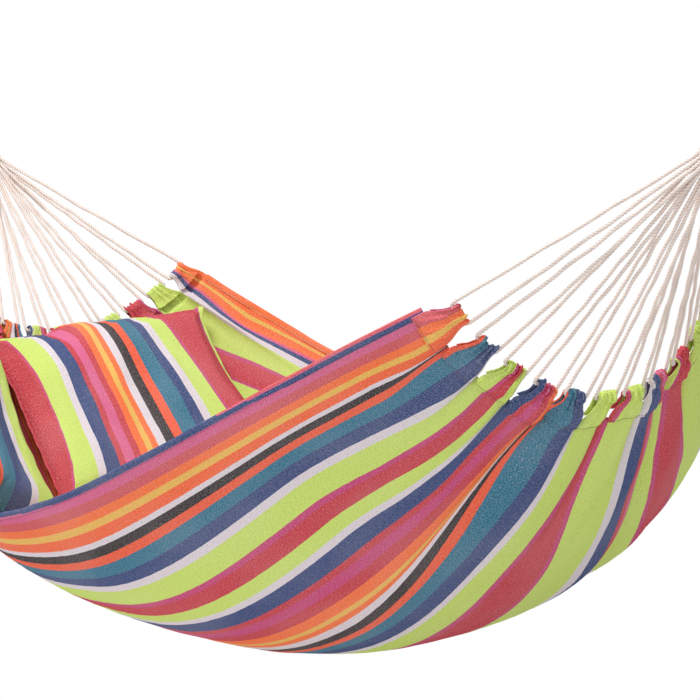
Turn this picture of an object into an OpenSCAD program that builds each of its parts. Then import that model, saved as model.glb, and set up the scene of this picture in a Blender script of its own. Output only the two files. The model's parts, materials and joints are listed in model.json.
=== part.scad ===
// Two-end hanging hammock: a striped cotton cloth bed with sewn end tabs,
// a fan of cords at each end, a bound neck, a rope hanging loop and a steel
// ring at each end, and two loose pillows lying side by side at the left end.
// +X runs along the hammock from the left ring to the right ring, +Y runs
// across it from the near rim to the far rim, +Z is up. The origin is the
// centre of the left ring. Lengths are in millimetres.

/* [Span and height] */
// Half the distance between the two points where the cords gather
half_span = 1200; // [1150:5:1260]
// Height of the gathering points above the datum of the bed
gather_z = 594; // [570:2:620]
// Slope of the necks above the horizontal, in degrees
neck_slope = 45; // [40:1:50]

/* [Cloth bed] */
// Half length of the bed between its end hems, at the corners
corner_x = 867; // [850:1:880]
// Half length of the bed between its end hems, at the lowest point of a hem
hem_low_x = 924; // [905:1:935]
// Half width between the corners of one end hem
corner_y = 275; // [260:1:290]
// Height of the corners
corner_z = 378; // [365:1:390]
// Height of the lowest point of an end hem
hem_low_z = 203; // [190:1:215]
// How much higher the left end hem hangs at its lowest point
left_hem_rise = 38; // [0:1:42]
// Reach of the near rim at mid length
near_rim_y = 631; // [600:1:650]
// Height of the near rim at mid length
near_rim_z = -21; // [-40:1:0]
// Reach of the far rim at mid length
far_rim_y = 714; // [680:1:730]
// Height of the far rim at mid length
far_rim_z = -16; // [-40:1:0]
// Height of the lowest line of the bed at mid length
keel_z = -312; // [-330:1:-290]
// How much lower the left half of the near rim hangs, as a fraction of its sag
near_rim_lean = 0.391; // [0.3:0.01:0.45]
// Exponent of the sag curve along the bed
sag_power = 2.231; // [2:0.05:2.4]
// Thickness of the bed cloth with its weave and turned hems
cloth_thickness = 3; // [2:0.5:4]

/* [Tabs and cords] */
// Length of the sewn tube of a tab
tab_tube = 34; // [30:1:34]
// Outside radius of the sewn tube
tab_radius = 7.5; // [7:0.5:8]
// Radius of the passage for the cord
tab_bore_radius = 4.2; // [3.8:0.1:4.6]
// Width of the flat part of a tab
tab_width = 40; // [34:1:44]
// Radius of a cord
cord_radius = 3; // [2.5:0.1:3.1]

/* [Neck, loop and ring] */
// Distance from the gathering point to the outer end of the whipping
whip_end = 62; // [60:1:66]
// Radius of the served rope of the hanging loop
loop_radius = 7; // [6:0.5:7.5]
// Half the centre distance of the two legs of the hanging loop
loop_half = 16; // [15.5:0.5:17]
// Distance from the gathering point to the centre of the loop's bend
loop_reach = 92; // [88:1:96]
// Inside radius of the hanging ring
ring_inner_radius = 25; // [24:1:28]
// Radius of the ring's wire
ring_wire_radius = 4; // [3.5:0.5:4.5]

/* [Pillows] */
// Place of the far pillow's head edge along the bed, as a fraction of half length
far_head = -0.985; // [-0.985:0.005:-0.94]
// Place of the far pillow's foot edge along the bed
far_foot = -0.53; // [-0.56:0.01:-0.5]
// Width of the far pillow, measured over the cloth
far_width = 600; // [560:5:610]
// Offset of the far pillow's middle from the lowest line, towards the far rim
far_shift = 28; // [24:1:32]
// Place of the near pillow's head edge along the bed
near_head = -0.9; // [-0.91:0.005:-0.88]
// Place of the near pillow's foot edge along the bed
near_foot = -0.4; // [-0.46:0.01:-0.38]
// Width of the near pillow, measured over the cloth
near_width = 440; // [400:5:445]
// Offset of the near pillow's middle from the lowest line, negative towards the near rim
near_shift = -532; // [-540:1:-530]
// Height of a pillow's seam above the cloth
pillow_seam = 50; // [40:1:60]
// Height of a pillow's crown above its seam
pillow_crown = 58; // [50:1:65]
// How far the far pillow bridges the hollow of the cloth at its head edge
far_bridge = 46; // [30:1:50]
// Clear gap between a pillow and the cloth
pillow_gap = 6; // [4:1:10]

/* [Hidden] */
$fn = 48;
bed_steps_long = 36;  // facets along the bed
bed_steps_wide = 22;  // facets across the bed
pillow_steps = 12;    // facets along and across a pillow

bed_end = 0.957;              // where the cloth hands over to the tabs, as a fraction
arc_hem = 1.043 * 180 / PI;   // half opening angle of the section at a hem
arc_mid = 1.277 * 180 / PI;   // half opening angle at mid length
near_rim_sway = -0.082;       // the near rim reaches less on the left, more on the right
keel_lean = -0.174;           // the lowest line sags less on the left, more on the right
probe = 0.002;                // half step for the surface directions
cloth_half_hem = 350;         // half width of the cloth over its curve, at a hem
cloth_half_gain = 415;        // how much that half width grows by mid length

tab_place = 0.992;     // place of the tubes along the bed, as a fraction
tab_lift = 2;          // tube axis above the bed surface
tab_thickness = 3;     // flat part of a tab
tab_flat_start = 5;    // flat part begins this far from the tube axis
tab_overlap = 5;       // flat part runs this far past the cloth's edge
cord_clear = 8;        // straight cord beyond each end of a tube
joint_extra = 0.15;    // balls at the cord bends are this much larger in radius

// Distances along a neck, from the gathering point outwards
whip_start = 5;
cord_end = 38;
loop_foot = 41;
ring_clear = 0.5;      // between the loop's bend and the ring's wire
wire_place = loop_reach + (loop_half - loop_radius) - ring_wire_radius - ring_clear;
ring_mid_radius = ring_inner_radius + ring_wire_radius;
ring_place = wire_place + ring_mid_radius;

// [half width, half height] of the whipping's outline and of its hollow
whip_outer = [28, 20];
whip_inner = [25.7, 17.4];

// Mid length of the bed along X, and height of the rings above the bed's datum
mid_x = half_span + ring_place * cos(neck_slope);
ring_height = gather_z + ring_place * sin(neck_slope);

// Cord legs in the near half of a neck, from the near corner inwards, so that no
// two legs cross; the far half mirrors them: [distance from the middle, distance
// below the neck's axis]
neck_legs = [
    [17.4, -10.5], [17.4, -3.5], [17.4, 3.5], [17.4, 10.5],
    [10.4, -7], [10.4, 0], [10.4, 7],
    [3.5, -10.5], [3.5, -3.5], [3.5, 3.5], [3.5, 10.5]];
tab_count = len(neck_legs);   // tabs at each end, each holding a cord with two legs

// ---- helpers
function unit(v) = v / norm(v);
function lerp(from, to, share) = from + (to - from) * share;

// points of a surface: -reach..reach lengthwise, -1..1 crosswise
function grid(long_steps, wide_steps, reach, point) =
    [for (i = [0:long_steps]) [for (j = [0:wide_steps])
        point(lerp(-reach, reach, i / long_steps), lerp(-1, 1, j / wide_steps))]];

// closed skin between two grids of the same size
module skin(top, bottom) {
    n = len(top) - 1;
    m = len(top[0]) - 1;
    // index of a point; layer 0 is the top grid, 1 the bottom grid
    function at(i, j, layer) = layer * (n + 1) * (m + 1) + i * (m + 1) + j;
    surfaces = [for (i = [0:n - 1]) for (j = [0:m - 1]) each [
        [at(i, j, 0), at(i, j + 1, 0), at(i + 1, j + 1, 0)],
        [at(i, j, 0), at(i + 1, j + 1, 0), at(i + 1, j, 0)],
        [at(i, j, 1), at(i + 1, j + 1, 1), at(i, j + 1, 1)],
        [at(i, j, 1), at(i + 1, j, 1), at(i + 1, j + 1, 1)]]];
    sides = [for (i = [0:n - 1]) each [
        [at(i, 0, 0), at(i + 1, 0, 0), at(i + 1, 0, 1)],
        [at(i, 0, 0), at(i + 1, 0, 1), at(i, 0, 1)],
        [at(i, m, 0), at(i + 1, m, 1), at(i + 1, m, 0)],
        [at(i, m, 0), at(i, m, 1), at(i + 1, m, 1)]]];
    ends = [for (j = [0:m - 1]) each [
        [at(0, j, 0), at(0, j + 1, 1), at(0, j + 1, 0)],
        [at(0, j, 0), at(0, j, 1), at(0, j + 1, 1)],
        [at(n, j, 0), at(n, j + 1, 0), at(n, j + 1, 1)],
        [at(n, j, 0), at(n, j + 1, 1), at(n, j, 1)]]];
    polyhedron(
        points = [for (layer = [top, bottom]) for (row = layer) each row],
        faces = concat(surfaces, sides, ends),
        convexity = 6);
}

// round rod between two points
module rod(start, end, radius) {
    span = end - start;
    length = norm(span);
    translate(start)
        rotate([0, acos(span[2] / length), atan2(span[1], span[0])])
            cylinder(r = radius, h = length);
}

// ---- bed surface: lon runs -1..1 from left hem to right hem, lat -1..1 from
// near rim to far rim
function bow(lon) = 1 - pow(abs(lon), sag_power);
function arc_at(lon) = lerp(arc_hem, arc_mid, bow(lon));
function rim_y(lon, lat) = corner_y
    + ((lat < 0 ? near_rim_y : far_rim_y) - corner_y)
    * bow(lon) * (lat < 0 ? 1 - near_rim_sway * lon : 1);
function rim_z(lon, lat) = corner_z
    + ((lat < 0 ? near_rim_z : far_rim_z) - corner_z)
    * bow(lon) * (lat < 0 ? 1 - near_rim_lean * lon : 1);
function hem_z(lon) = hem_low_z + left_hem_rise * (1 - lon) / 2;
function low_z(lon) = hem_z(lon) + (keel_z - hem_z(lon)) * bow(lon) * (1 - keel_lean * lon);
// 0 on the lowest line, 1 on a rim
function lift_at(lon, lat) = (1 - cos(arc_at(lon) * lat)) / (1 - cos(arc_at(lon)));
function bed(lon, lat) = [
    mid_x + lon * lerp(hem_low_x, corner_x, lift_at(lon, lat)),
    rim_y(lon, lat) * sin(arc_at(lon) * lat) / sin(arc_at(lon)),
    lerp(low_z(lon), rim_z(lon, lat), lift_at(lon, lat)) - ring_height];
function along(lon, lat) = unit(bed(lon + probe, lat) - bed(lon - probe, lat));
function across(lon, lat) = unit(bed(lon, lat + probe) - bed(lon, lat - probe));
function up_from(lon, lat) = unit(cross(along(lon, lat), across(lon, lat)));
function above_bed(lon, lat, height) = bed(lon, lat) + up_from(lon, lat) * height;

function cloth_face(height) = grid(bed_steps_long, bed_steps_wide, bed_end,
    function (lon, lat) above_bed(lon, lat, height));
module bed_cloth() {
    color([0.80, 0.35, 0.42]) skin(cloth_face(cloth_thickness / 2), cloth_face(-cloth_thickness / 2));
}

// ---- tabs; side is -1 for the left end and 1 for the right end
function tab_lat(i) = -1 + (2 * i + 1) / tab_count;
function tab_center(side, i) = above_bed(side * tab_place, tab_lat(i), tab_lift);
function tab_axis(side, i) = across(side, tab_lat(i));
// from the tube to the edge of the cloth
function tab_to_cloth(side, i) = bed(side * bed_end, tab_lat(i)) - tab_center(side, i);

// tube along local X, with a flat part running along local Y onto the cloth
module tab(side, i) {
    center = tab_center(side, i);
    axis = tab_axis(side, i);
    to_cloth = tab_to_cloth(side, i);
    inward = unit(to_cloth - (to_cloth * axis) * axis);
    normal = cross(axis, inward);
    flat_end = norm(to_cloth) + tab_overlap;
    placement = [
        for (k = [0:2]) [axis[k], inward[k], normal[k], center[k]],
        [0, 0, 0, 1]];
    multmatrix(placement)
        difference() {
            union() {
                translate([-tab_tube / 2, 0, 0]) rotate([0, 90, 0])
                    cylinder(r = tab_radius, h = tab_tube);
                translate([-tab_width / 2, tab_flat_start, -tab_thickness / 2])
                    cube([tab_width, flat_end - tab_flat_start, tab_thickness]);
            }
            translate([-tab_tube, 0, 0]) rotate([0, 90, 0])
                cylinder(r = tab_bore_radius, h = 2 * tab_tube);
        }
}
module hem_tabs(side) {
    color([0.78, 0.90, 0.45]) for (i = [0:tab_count - 1]) tab(side, i);
}

// ---- necks and cords
function gather(side) = [mid_x + side * half_span, 0, gather_z - ring_height];
function neck_out(side) = [side * cos(neck_slope), 0, sin(neck_slope)];
function neck_below(side) = [side * sin(neck_slope), 0, -cos(neck_slope)];
// centre of leg k, counted from near to far, at a distance along the neck
function leg_point(side, k, distance) =
    let (is_near = k < tab_count,
         leg = neck_legs[is_near ? k : 2 * tab_count - 1 - k])
    gather(side) + distance * neck_out(side)
    + [0, is_near ? -leg[0] : leg[0], 0] + leg[1] * neck_below(side);

// one cord: down from the neck, through its tab and back up to the neck
module cord(side, i) {
    center = tab_center(side, i);
    half_run = (tab_tube / 2 + cord_clear) * tab_axis(side, i);
    path = [
        leg_point(side, 2 * i, cord_end),
        leg_point(side, 2 * i, 0),
        center - half_run,
        center + half_run,
        leg_point(side, 2 * i + 1, 0),
        leg_point(side, 2 * i + 1, cord_end)];
    last = len(path) - 1;
    color([0.92, 0.87, 0.83]) union() {
        for (k = [1:last]) {
            rod(path[k - 1], path[k], cord_radius);
            if (k < last) translate(path[k]) sphere(r = cord_radius + joint_extra);
        }
    }
}

// local frame of a neck: X outward along the neck, Y across, Z up
module neck_frame(side) {
    translate(gather(side)) mirror([side < 0 ? 1 : 0, 0, 0]) rotate([0, -neck_slope, 0])
        children();
}

// round-ended slot shape, size = [half width along Y, half height along X]
module stadium(size) {
    straight = size[0] - size[1];
    translate([-size[1], -straight]) square([2 * size[1], 2 * straight]);
    translate([0, -straight]) circle(r = size[1]);
    translate([0, straight]) circle(r = size[1]);
}

// binding round the gathered legs and the foot of the loop
module whipping(side) {
    color([0.86, 0.8, 0.74]) neck_frame(side)
        translate([whip_start, 0, 0]) rotate([0, 90, 0])
            linear_extrude(height = whip_end - whip_start) difference() {
                stadium(whip_outer);
                stadium(whip_inner);
            }
}

// served rope loop: two legs and a half turn that goes round the ring's wire
module hanging_loop(side) {
    color([0.88, 0.82, 0.76]) neck_frame(side) union() {
        for (k = [-1, 1]) translate([loop_foot, k * loop_half, 0]) rotate([0, 90, 0])
            cylinder(r = loop_radius, h = loop_reach - loop_foot);
        translate([loop_reach, 0, 0]) rotate([0, 0, -90]) rotate_extrude(angle = 180)
            translate([loop_half, 0]) circle(r = loop_radius);
    }
}

// steel ring, standing upright in the plane of the neck
module steel_ring(side) {
    color([0.72, 0.74, 0.77]) neck_frame(side)
        translate([ring_place, 0, 0]) rotate([90, 0, 0])
            rotate_extrude() translate([ring_mid_radius, 0]) circle(r = ring_wire_radius);
}

// ---- pillows: two sewn panels and a filling between them; x runs from the
// head edge (-1) to the foot edge (1), y from the near side to the far side
end_draw = 0.10;       // how far the head and foot edges are drawn in at their middles
seam_half = 2.2;       // outer face of each panel from the seam line, at the edge
panel_thickness = 2;
belly_hold = 4;        // shortens the drop of the underside
filling_inset = 5;     // filling below the top face and above the underside
filling_half_min = 0.6;
filling_scale = 0.85;  // filling's share of the pillow's length and width

// Columns of a pillow. HEAD_CURVE moves the head edge's corners towards the foot;
// NEAR_DRAW and FAR_DRAW draw in the middles of the near and far sides.
HEAD = 0;
FOOT = 1;
WIDTH = 2;
SHIFT = 3;
HEAD_CURVE = 4;
BRIDGE = 5;
NEAR_DRAW = 6;
FAR_DRAW = 7;
FAR = [far_head, far_foot, far_width, far_shift, 0.06, far_bridge, 0.03, 0.14];
NEAR = [near_head, near_foot, near_width, near_shift, 0.0, 6, 0.05, 0.03];

function cloth_half(lon) = cloth_half_hem + cloth_half_gain * bow(lon);
// fullness, 0 at the edges and 1 in the middle
function puff(x, y) = sqrt(max(0, (1 - pow(x, 4)) * (1 - pow(y, 4))));
function pillow_point(pillow, x, y, height, scale) =
    let (side_draw = pillow[y < 0 ? NEAR_DRAW : FAR_DRAW],
         drawn_x = x * scale * (1 - end_draw * (1 - y * y) * pow(abs(x), 3)),
         drawn_y = y * scale * (1 - side_draw * (1 - x * x) * pow(abs(y), 3)),
         head = pillow[HEAD] + pillow[HEAD_CURVE] * drawn_y * drawn_y,
         lon = lerp(head, pillow[FOOT], (drawn_x + 1) / 2),
         lat = (pillow[SHIFT] + drawn_y * pillow[WIDTH] / 2) / cloth_half(lon))
    above_bed(lon, lat, height);

// heights above the middle of the cloth's thickness
function seam_h(pillow, x, y) = pillow_seam + pillow[BRIDGE] * (1 - y * y) * (1 - x) / 2;
function top_h(pillow, x, y) = seam_h(pillow, x, y) + seam_half + pillow_crown * puff(x, y);
function low_h(pillow, x, y) = seam_h(pillow, x, y) - seam_half
    - (seam_h(pillow, x, y) - belly_hold - pillow_gap - cloth_thickness / 2) * puff(x, y);

// skin between two height functions of x and y
function pillow_face(pillow, height, scale) = grid(pillow_steps, pillow_steps, 1,
    function (x, y) pillow_point(pillow, x, y, height(x, y), scale));
module pillow_skin(pillow, upper, lower, scale = 1) {
    skin(pillow_face(pillow, upper, scale), pillow_face(pillow, lower, scale));
}

// upper panel
module pillow_front_panel(pillow) {
    color([0.85, 0.40, 0.30]) pillow_skin(pillow,
        function (x, y) top_h(pillow, x, y),
        function (x, y) top_h(pillow, x, y) - panel_thickness);
}
// lower panel
module pillow_back_panel(pillow) {
    color([0.25, 0.45, 0.60]) pillow_skin(pillow,
        function (x, y) low_h(pillow, x, y) + panel_thickness,
        function (x, y) low_h(pillow, x, y));
}
module pillow_filling(pillow) {
    color([0.95, 0.95, 0.93]) pillow_skin(pillow,
        function (x, y) max(top_h(pillow, x, y) - filling_inset,
            seam_h(pillow, x, y) + filling_half_min),
        function (x, y) min(low_h(pillow, x, y) + filling_inset,
            seam_h(pillow, x, y) - filling_half_min),
        filling_scale);
}

bed_cloth();
hem_tabs(-1);  // left_hem_tabs
hem_tabs(1);  // right_hem_tabs
cord(-1, 0);  // left_cord_01
cord(-1, 1);  // left_cord_02
cord(-1, 2);  // left_cord_03
cord(-1, 3);  // left_cord_04
cord(-1, 4);  // left_cord_05
cord(-1, 5);  // left_cord_06
cord(-1, 6);  // left_cord_07
cord(-1, 7);  // left_cord_08
cord(-1, 8);  // left_cord_09
cord(-1, 9);  // left_cord_10
cord(-1, 10);  // left_cord_11
cord(1, 0);  // right_cord_01
cord(1, 1);  // right_cord_02
cord(1, 2);  // right_cord_03
cord(1, 3);  // right_cord_04
cord(1, 4);  // right_cord_05
cord(1, 5);  // right_cord_06
cord(1, 6);  // right_cord_07
cord(1, 7);  // right_cord_08
cord(1, 8);  // right_cord_09
cord(1, 9);  // right_cord_10
cord(1, 10);  // right_cord_11
whipping(-1);  // left_whipping
whipping(1);  // right_whipping
hanging_loop(-1);  // left_hanging_loop
hanging_loop(1);  // right_hanging_loop
steel_ring(-1);  // left_ring
steel_ring(1);  // right_ring
pillow_front_panel(FAR);  // far_pillow_front_panel
pillow_back_panel(FAR);  // far_pillow_back_panel
pillow_filling(FAR);  // far_pillow_filling
pillow_front_panel(NEAR);  // near_pillow_front_panel
pillow_back_panel(NEAR);  // near_pillow_back_panel
pillow_filling(NEAR);  // near_pillow_filling
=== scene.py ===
# Two-end hanging hammock: a striped cotton bed with sewn end tabs, a fan of twisted cords at
# each end, whipped necks, served rope loops, steel rings and two loose pillows.
# Metres. x runs along the hammock from the left ring to the right ring, y from the near rim
# (-y) to the far rim (+y), z up. "side" is -1 for the left end and 1 for the right end.
import json
import math

import bpy
import numpy as np
from mathutils import Matrix, Vector


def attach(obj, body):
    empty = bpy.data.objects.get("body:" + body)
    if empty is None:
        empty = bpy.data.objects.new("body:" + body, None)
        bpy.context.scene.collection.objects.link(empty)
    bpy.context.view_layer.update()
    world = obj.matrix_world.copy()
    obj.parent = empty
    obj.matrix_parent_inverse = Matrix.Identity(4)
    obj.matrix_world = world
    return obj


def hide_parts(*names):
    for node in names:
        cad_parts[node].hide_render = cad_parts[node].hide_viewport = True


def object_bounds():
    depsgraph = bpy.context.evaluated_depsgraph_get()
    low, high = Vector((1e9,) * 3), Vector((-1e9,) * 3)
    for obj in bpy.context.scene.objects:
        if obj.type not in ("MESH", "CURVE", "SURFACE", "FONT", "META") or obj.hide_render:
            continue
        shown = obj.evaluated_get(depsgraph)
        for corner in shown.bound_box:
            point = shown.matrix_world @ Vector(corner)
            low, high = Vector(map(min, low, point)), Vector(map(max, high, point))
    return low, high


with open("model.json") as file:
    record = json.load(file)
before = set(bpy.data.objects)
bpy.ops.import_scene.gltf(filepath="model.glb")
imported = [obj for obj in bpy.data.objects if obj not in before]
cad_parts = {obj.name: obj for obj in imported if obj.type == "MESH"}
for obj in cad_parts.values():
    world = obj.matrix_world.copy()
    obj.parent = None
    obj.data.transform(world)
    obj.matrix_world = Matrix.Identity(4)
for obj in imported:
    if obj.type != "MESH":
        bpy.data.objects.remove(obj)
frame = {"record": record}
CAD_BOX = [list(v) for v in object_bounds()]
PI = math.pi
LABEL = {-1: "left", 1: "right"}

# ------------------------------------------------------------------ frame
MOUNTS = {m["name"]: np.array(m["pos_m"], float) for m in frame["record"]["mounts"]}
RING_CENTRE = {side: MOUNTS[LABEL[side] + "_hanging_ring"] for side in (-1, 1)}
CENTRE_X = float(RING_CENTRE[1][0] - RING_CENTRE[-1][0]) / 2
HALF_SPAN = 1.200                       # from the middle to where the cords gather
GATHER_Z = 0.594                        # design height of the gather
NECK_ANGLE = math.radians(45)
NECK_COS, NECK_SIN = math.cos(NECK_ANGLE), math.sin(NECK_ANGLE)
RING_OUT = (CENTRE_X - HALF_SPAN) / NECK_COS          # ring centre along the neck
DATUM_Z = GATHER_Z + RING_OUT * NECK_SIN              # design height of the frame's z = 0

# ----------------------------------------- shape of the bed, design heights
CORNER_X, CORNER_Y, CORNER_Z = 0.867, 0.275, 0.378
END_BOTTOM_X, END_BOTTOM_Z = 0.924, 0.203
NEAR_RIM_Y, NEAR_RIM_Z = 0.631, -0.021                # at mid-length
FAR_RIM_Y, FAR_RIM_Z = 0.714, -0.016
KEEL_Z = -0.312                                       # lowest line at mid-length
NEAR_SKEW_Z, NEAR_SKEW_Y, KEEL_SKEW = 0.391, -0.082, -0.174
SAG_POWER = 2.231
ARC_END, ARC_MID = 1.043, 1.277                       # half angle of the cross-section
LEFT_RISE = 0.038                                     # left end bottom above the right
TABS = 11
HEM_LON = 0.957                                       # end hems of the cloth
CORD_LON = 0.992                                      # cord bends in the tabs
ROW_COUNT, COLS = 221, 231
CLOTH_THICK = 0.0016
CLOTH_HALF = 0.765                                    # half width of the flat cloth

# Pillows. head, foot: lon of the two edges; width, shift: over the cloth; head_curve: bow of
# the head edge; bridge: lift over the hollow; near_pinch, far_pinch: waist of the long sides;
# ear: near head corner folded in; lean: stripes drawn inwards; slump: drop of the near head
# corner; full: fill; edge_tau: stripe on the far seam; stripes: (far_pos, tau) stations.
FAR = dict(
    head=-0.985, foot=-0.53, width=0.600, shift=0.028, head_curve=0.06, bridge=0.034,
    near_pinch=0.03, far_pinch=0.14, ear=0.0, lean=0.07, slump=0.024, full=0.88, edge_tau=0.84,
    stripes=[(-1, 0.055), (-0.92, 0.116), (-0.71, 0.245), (-0.64, 0.28), (-0.51, 0.33),
             (-0.31, 0.40), (-0.14, 0.45), (0.01, 0.495), (0.09, 0.515), (0.23, 0.55),
             (0.31, 0.585), (0.38, 0.608), (0.52, 0.68), (0.55, 0.695), (0.95, 0.775),
             (1, 0.79)])
NEAR = dict(
    head=-0.9, foot=-0.4, width=0.440, shift=-0.532, head_curve=0.0, bridge=0.006,
    near_pinch=0.05, far_pinch=0.03, ear=0.17, lean=0.0, slump=0.0, full=0.90, edge_tau=-0.002,
    stripes=[(-1, -0.46), (-0.15, -0.20), (0.10, -0.163), (0.38, -0.12), (0.50, -0.098),
             (0.97, -0.011), (1, -0.006)])


# ---------------------------------------------------------- number helpers
def unit(vec):
    return vec / np.maximum(np.linalg.norm(vec, axis=-1, keepdims=True), 1e-12)


def dot(first, second):
    return np.einsum("ij,ij->i", first, second)


def ease(start, end, x):
    """Smooth step from 0 at start to 1 at end."""
    share = np.clip((np.asarray(x, float) - start) / (end - start), 0, 1)
    return share * share * (3 - 2 * share)


def noise(x, y, seed, size=64):
    """Smooth value noise in -1..1, seeded."""
    grid = np.random.RandomState(seed).uniform(-1, 1, (size, size))
    x, y = np.broadcast_arrays(np.asarray(x, float), np.asarray(y, float))
    col, row = np.floor(x).astype(int), np.floor(y).astype(int)
    mix_x, mix_y = (f * f * f * (f * (f * 6 - 15) + 10) for f in (x - col, y - row))

    def line(step):
        here, after = (grid[(col + k) % size, (row + step) % size] for k in (0, 1))
        return here * (1 - mix_x) + after * mix_x

    return line(0) * (1 - mix_y) + line(1) * mix_y


def lengths(path):
    """Distance run at each point of a polyline."""
    return np.concatenate([[0], np.cumsum(np.linalg.norm(np.diff(path, axis=0), axis=1))])


def sample(values, dist, where):
    """Rows of values, given at dist, read at where."""
    return np.stack([np.interp(where, dist, column) for column in values.T], -1)


def resample(path, step):
    path = np.asarray(path, float)
    dist = lengths(path)
    count = max(4, int(round(dist[-1] / step)) + 1)
    return sample(path, dist, np.linspace(0, dist[-1], count))


# ------------------------------------------------- surface of the cloth bed
def bow(lon):
    return 1 - np.abs(lon) ** SAG_POWER


def bed(lon, lat):
    """Middle surface: lon -1..1 from the left to the right end, lat -1..1 near to far rim."""
    lon, lat = np.broadcast_arrays(np.asarray(lon, float), np.asarray(lat, float))
    sag = bow(lon)
    arc = ARC_END + (ARC_MID - ARC_END) * sag
    near = lat < 0
    skew_y = np.where(near, 1 - NEAR_SKEW_Y * lon, 1.0)
    skew_z = np.where(near, 1 - NEAR_SKEW_Z * lon, 1.0)
    rim_y = CORNER_Y + (np.where(near, NEAR_RIM_Y, FAR_RIM_Y) - CORNER_Y) * sag * skew_y
    rim_z = CORNER_Z + (np.where(near, NEAR_RIM_Z, FAR_RIM_Z) - CORNER_Z) * sag * skew_z
    end_z = END_BOTTOM_Z + LEFT_RISE * (1 - lon) / 2
    keel_z = end_z + (KEEL_Z - end_z) * sag * (1 - KEEL_SKEW * lon)
    to_rim = (1 - np.cos(arc * lat)) / (1 - np.cos(arc))
    return np.stack([CENTRE_X + lon * (END_BOTTOM_X + (CORNER_X - END_BOTTOM_X) * to_rim),
                     rim_y * np.sin(arc * lat) / np.sin(arc),
                     keel_z + (rim_z - keel_z) * to_rim - DATUM_Z], -1)


def along(lon, lat, step=0.002):
    return unit(bed(lon + step, lat) - bed(lon - step, lat))


def across(lon, lat, step=0.002):
    return unit(bed(lon, lat + step) - bed(lon, lat - step))


def up(lon, lat):
    # the two halves meet with a small kink at lat = 0, so the normal is taken over a wide step
    return unit(np.cross(along(lon, lat), across(lon, lat, step=0.02)))


def at(lon, lat, height):
    return bed(lon, lat) + up(lon, lat) * np.asarray(height)[..., None]


# ------------------------------------------------- gathers of the cloth
# Each end hem is gathered onto its tabs. Between two tabs a fold runs into the bed and
# fades. tau is the coordinate on the flat cloth, -1..1 from near to far. Columns: lat at the
# hem, drift in lat per 0.1 of lon, reach (lon), depth (m), and the two tau that meet over
# the fold at the hem: what lies between them is swallowed.
FOLDS = {
    1: [(-0.818, 0.00, 0.12, 0.011, -0.881, -0.838),
        (-0.636, 0.00, 0.16, 0.012, -0.757, -0.735),
        (-0.455, 0.01, 0.16, 0.012, -0.552, -0.512),
        (-0.264, -0.130, 0.50, 0.021, -0.326, -0.203),
        (-0.091, 0.00, 0.14, 0.009, -0.116, -0.096),
        (0.075, 0.01, 0.34, 0.015, -0.004, 0.100),
        (0.273, 0.00, 0.18, 0.011, 0.238, 0.262),
        (0.450, 0.00, 0.95, 0.019, 0.400, 0.670),
        (0.636, 0.00, 0.20, 0.012, 0.768, 0.800),
        (0.818, 0.00, 0.14, 0.010, 0.880, 0.902)],
    -1: [(-0.818, 0.00, 0.12, 0.010, -0.815, -0.785),
         (-0.636, 0.02, 0.22, 0.013, -0.620, -0.580),
         (-0.455, 0.00, 0.14, 0.011, -0.400, -0.350),
         (-0.273, 0.02, 0.26, 0.012, -0.175, -0.130),
         (-0.091, 0.00, 0.13, 0.010, 0.050, 0.100),
         (0.091, 0.00, 0.22, 0.012, 0.250, 0.345),
         (0.273, -0.01, 0.16, 0.011, 0.505, 0.596),
         (0.455, 0.00, 0.20, 0.012, 0.682, 0.697),
         (0.636, -0.01, 0.20, 0.013, 0.788, 0.802),
         (0.822, 0.02, 0.30, 0.015, 0.884, 0.902)],
}
LONG_FOLD = 3                           # on the right end, runs aslant over the stripes
LAT_FINE = np.linspace(-1, 1, 2401)
MIN_TAU_STEP = 0.10 * (LAT_FINE[1] - LAT_FINE[0])


def from_hem(lon):
    return max(HEM_LON - abs(lon), 0)


def fold_states(lon):
    """Per fold: centre, run 0..1 from the hem to its end, strength 0..1, depth, swallowed."""
    states = []
    inward = from_hem(lon)
    for lat, drift, reach, depth, tau_low, tau_high in FOLDS[1 if lon > 0 else -1]:
        # the length over which a fold keeps its full strength
        hold = 0.42 if reach > 0.8 else 0.02 if reach > 0.4 else 0.16 * reach
        run = min(max(inward - hold, 0) / (reach - hold), 1)
        if reach > 0.4:
            strength = (1 - run) ** 1.6 * (1 + 0.6 * run)
        else:
            strength = 1 - run * run * (3 - 2 * run)
        centre = lat + drift * inward / 0.1 * math.exp(-inward / 0.12)
        states.append((centre, run, strength, depth, tau_high - tau_low))
    return states


def draw(swallowed):
    """How far to each side a fold draws its cloth from, in lat."""
    return 0.12 + 1.05 * swallowed


def ramp(centre, reach):
    low, high = max(-1.0, centre - reach), min(1.0, centre + reach)
    return np.clip((LAT_FINE - low) / (high - low), 0, 1)


def hem_remainder(side):
    """What is left of tau - lat at the hem once the folds are taken out."""
    lats, taus, swallowed = [-1.0], [-1.0], 0.0
    for lat, _, _, _, tau_low, tau_high in FOLDS[side]:
        lats.append(lat)
        taus.append(tau_low - swallowed)
        swallowed += tau_high - tau_low
    rest = np.interp(LAT_FINE, lats + [1.0], taus + [1 - swallowed]) - LAT_FINE
    for lat, _, _, _, tau_low, tau_high in FOLDS[side]:
        rest += (tau_high - tau_low) * ramp(lat, draw(tau_high - tau_low))
    return rest


REMAINDER = {side: hem_remainder(side) for side in (1, -1)}


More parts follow.
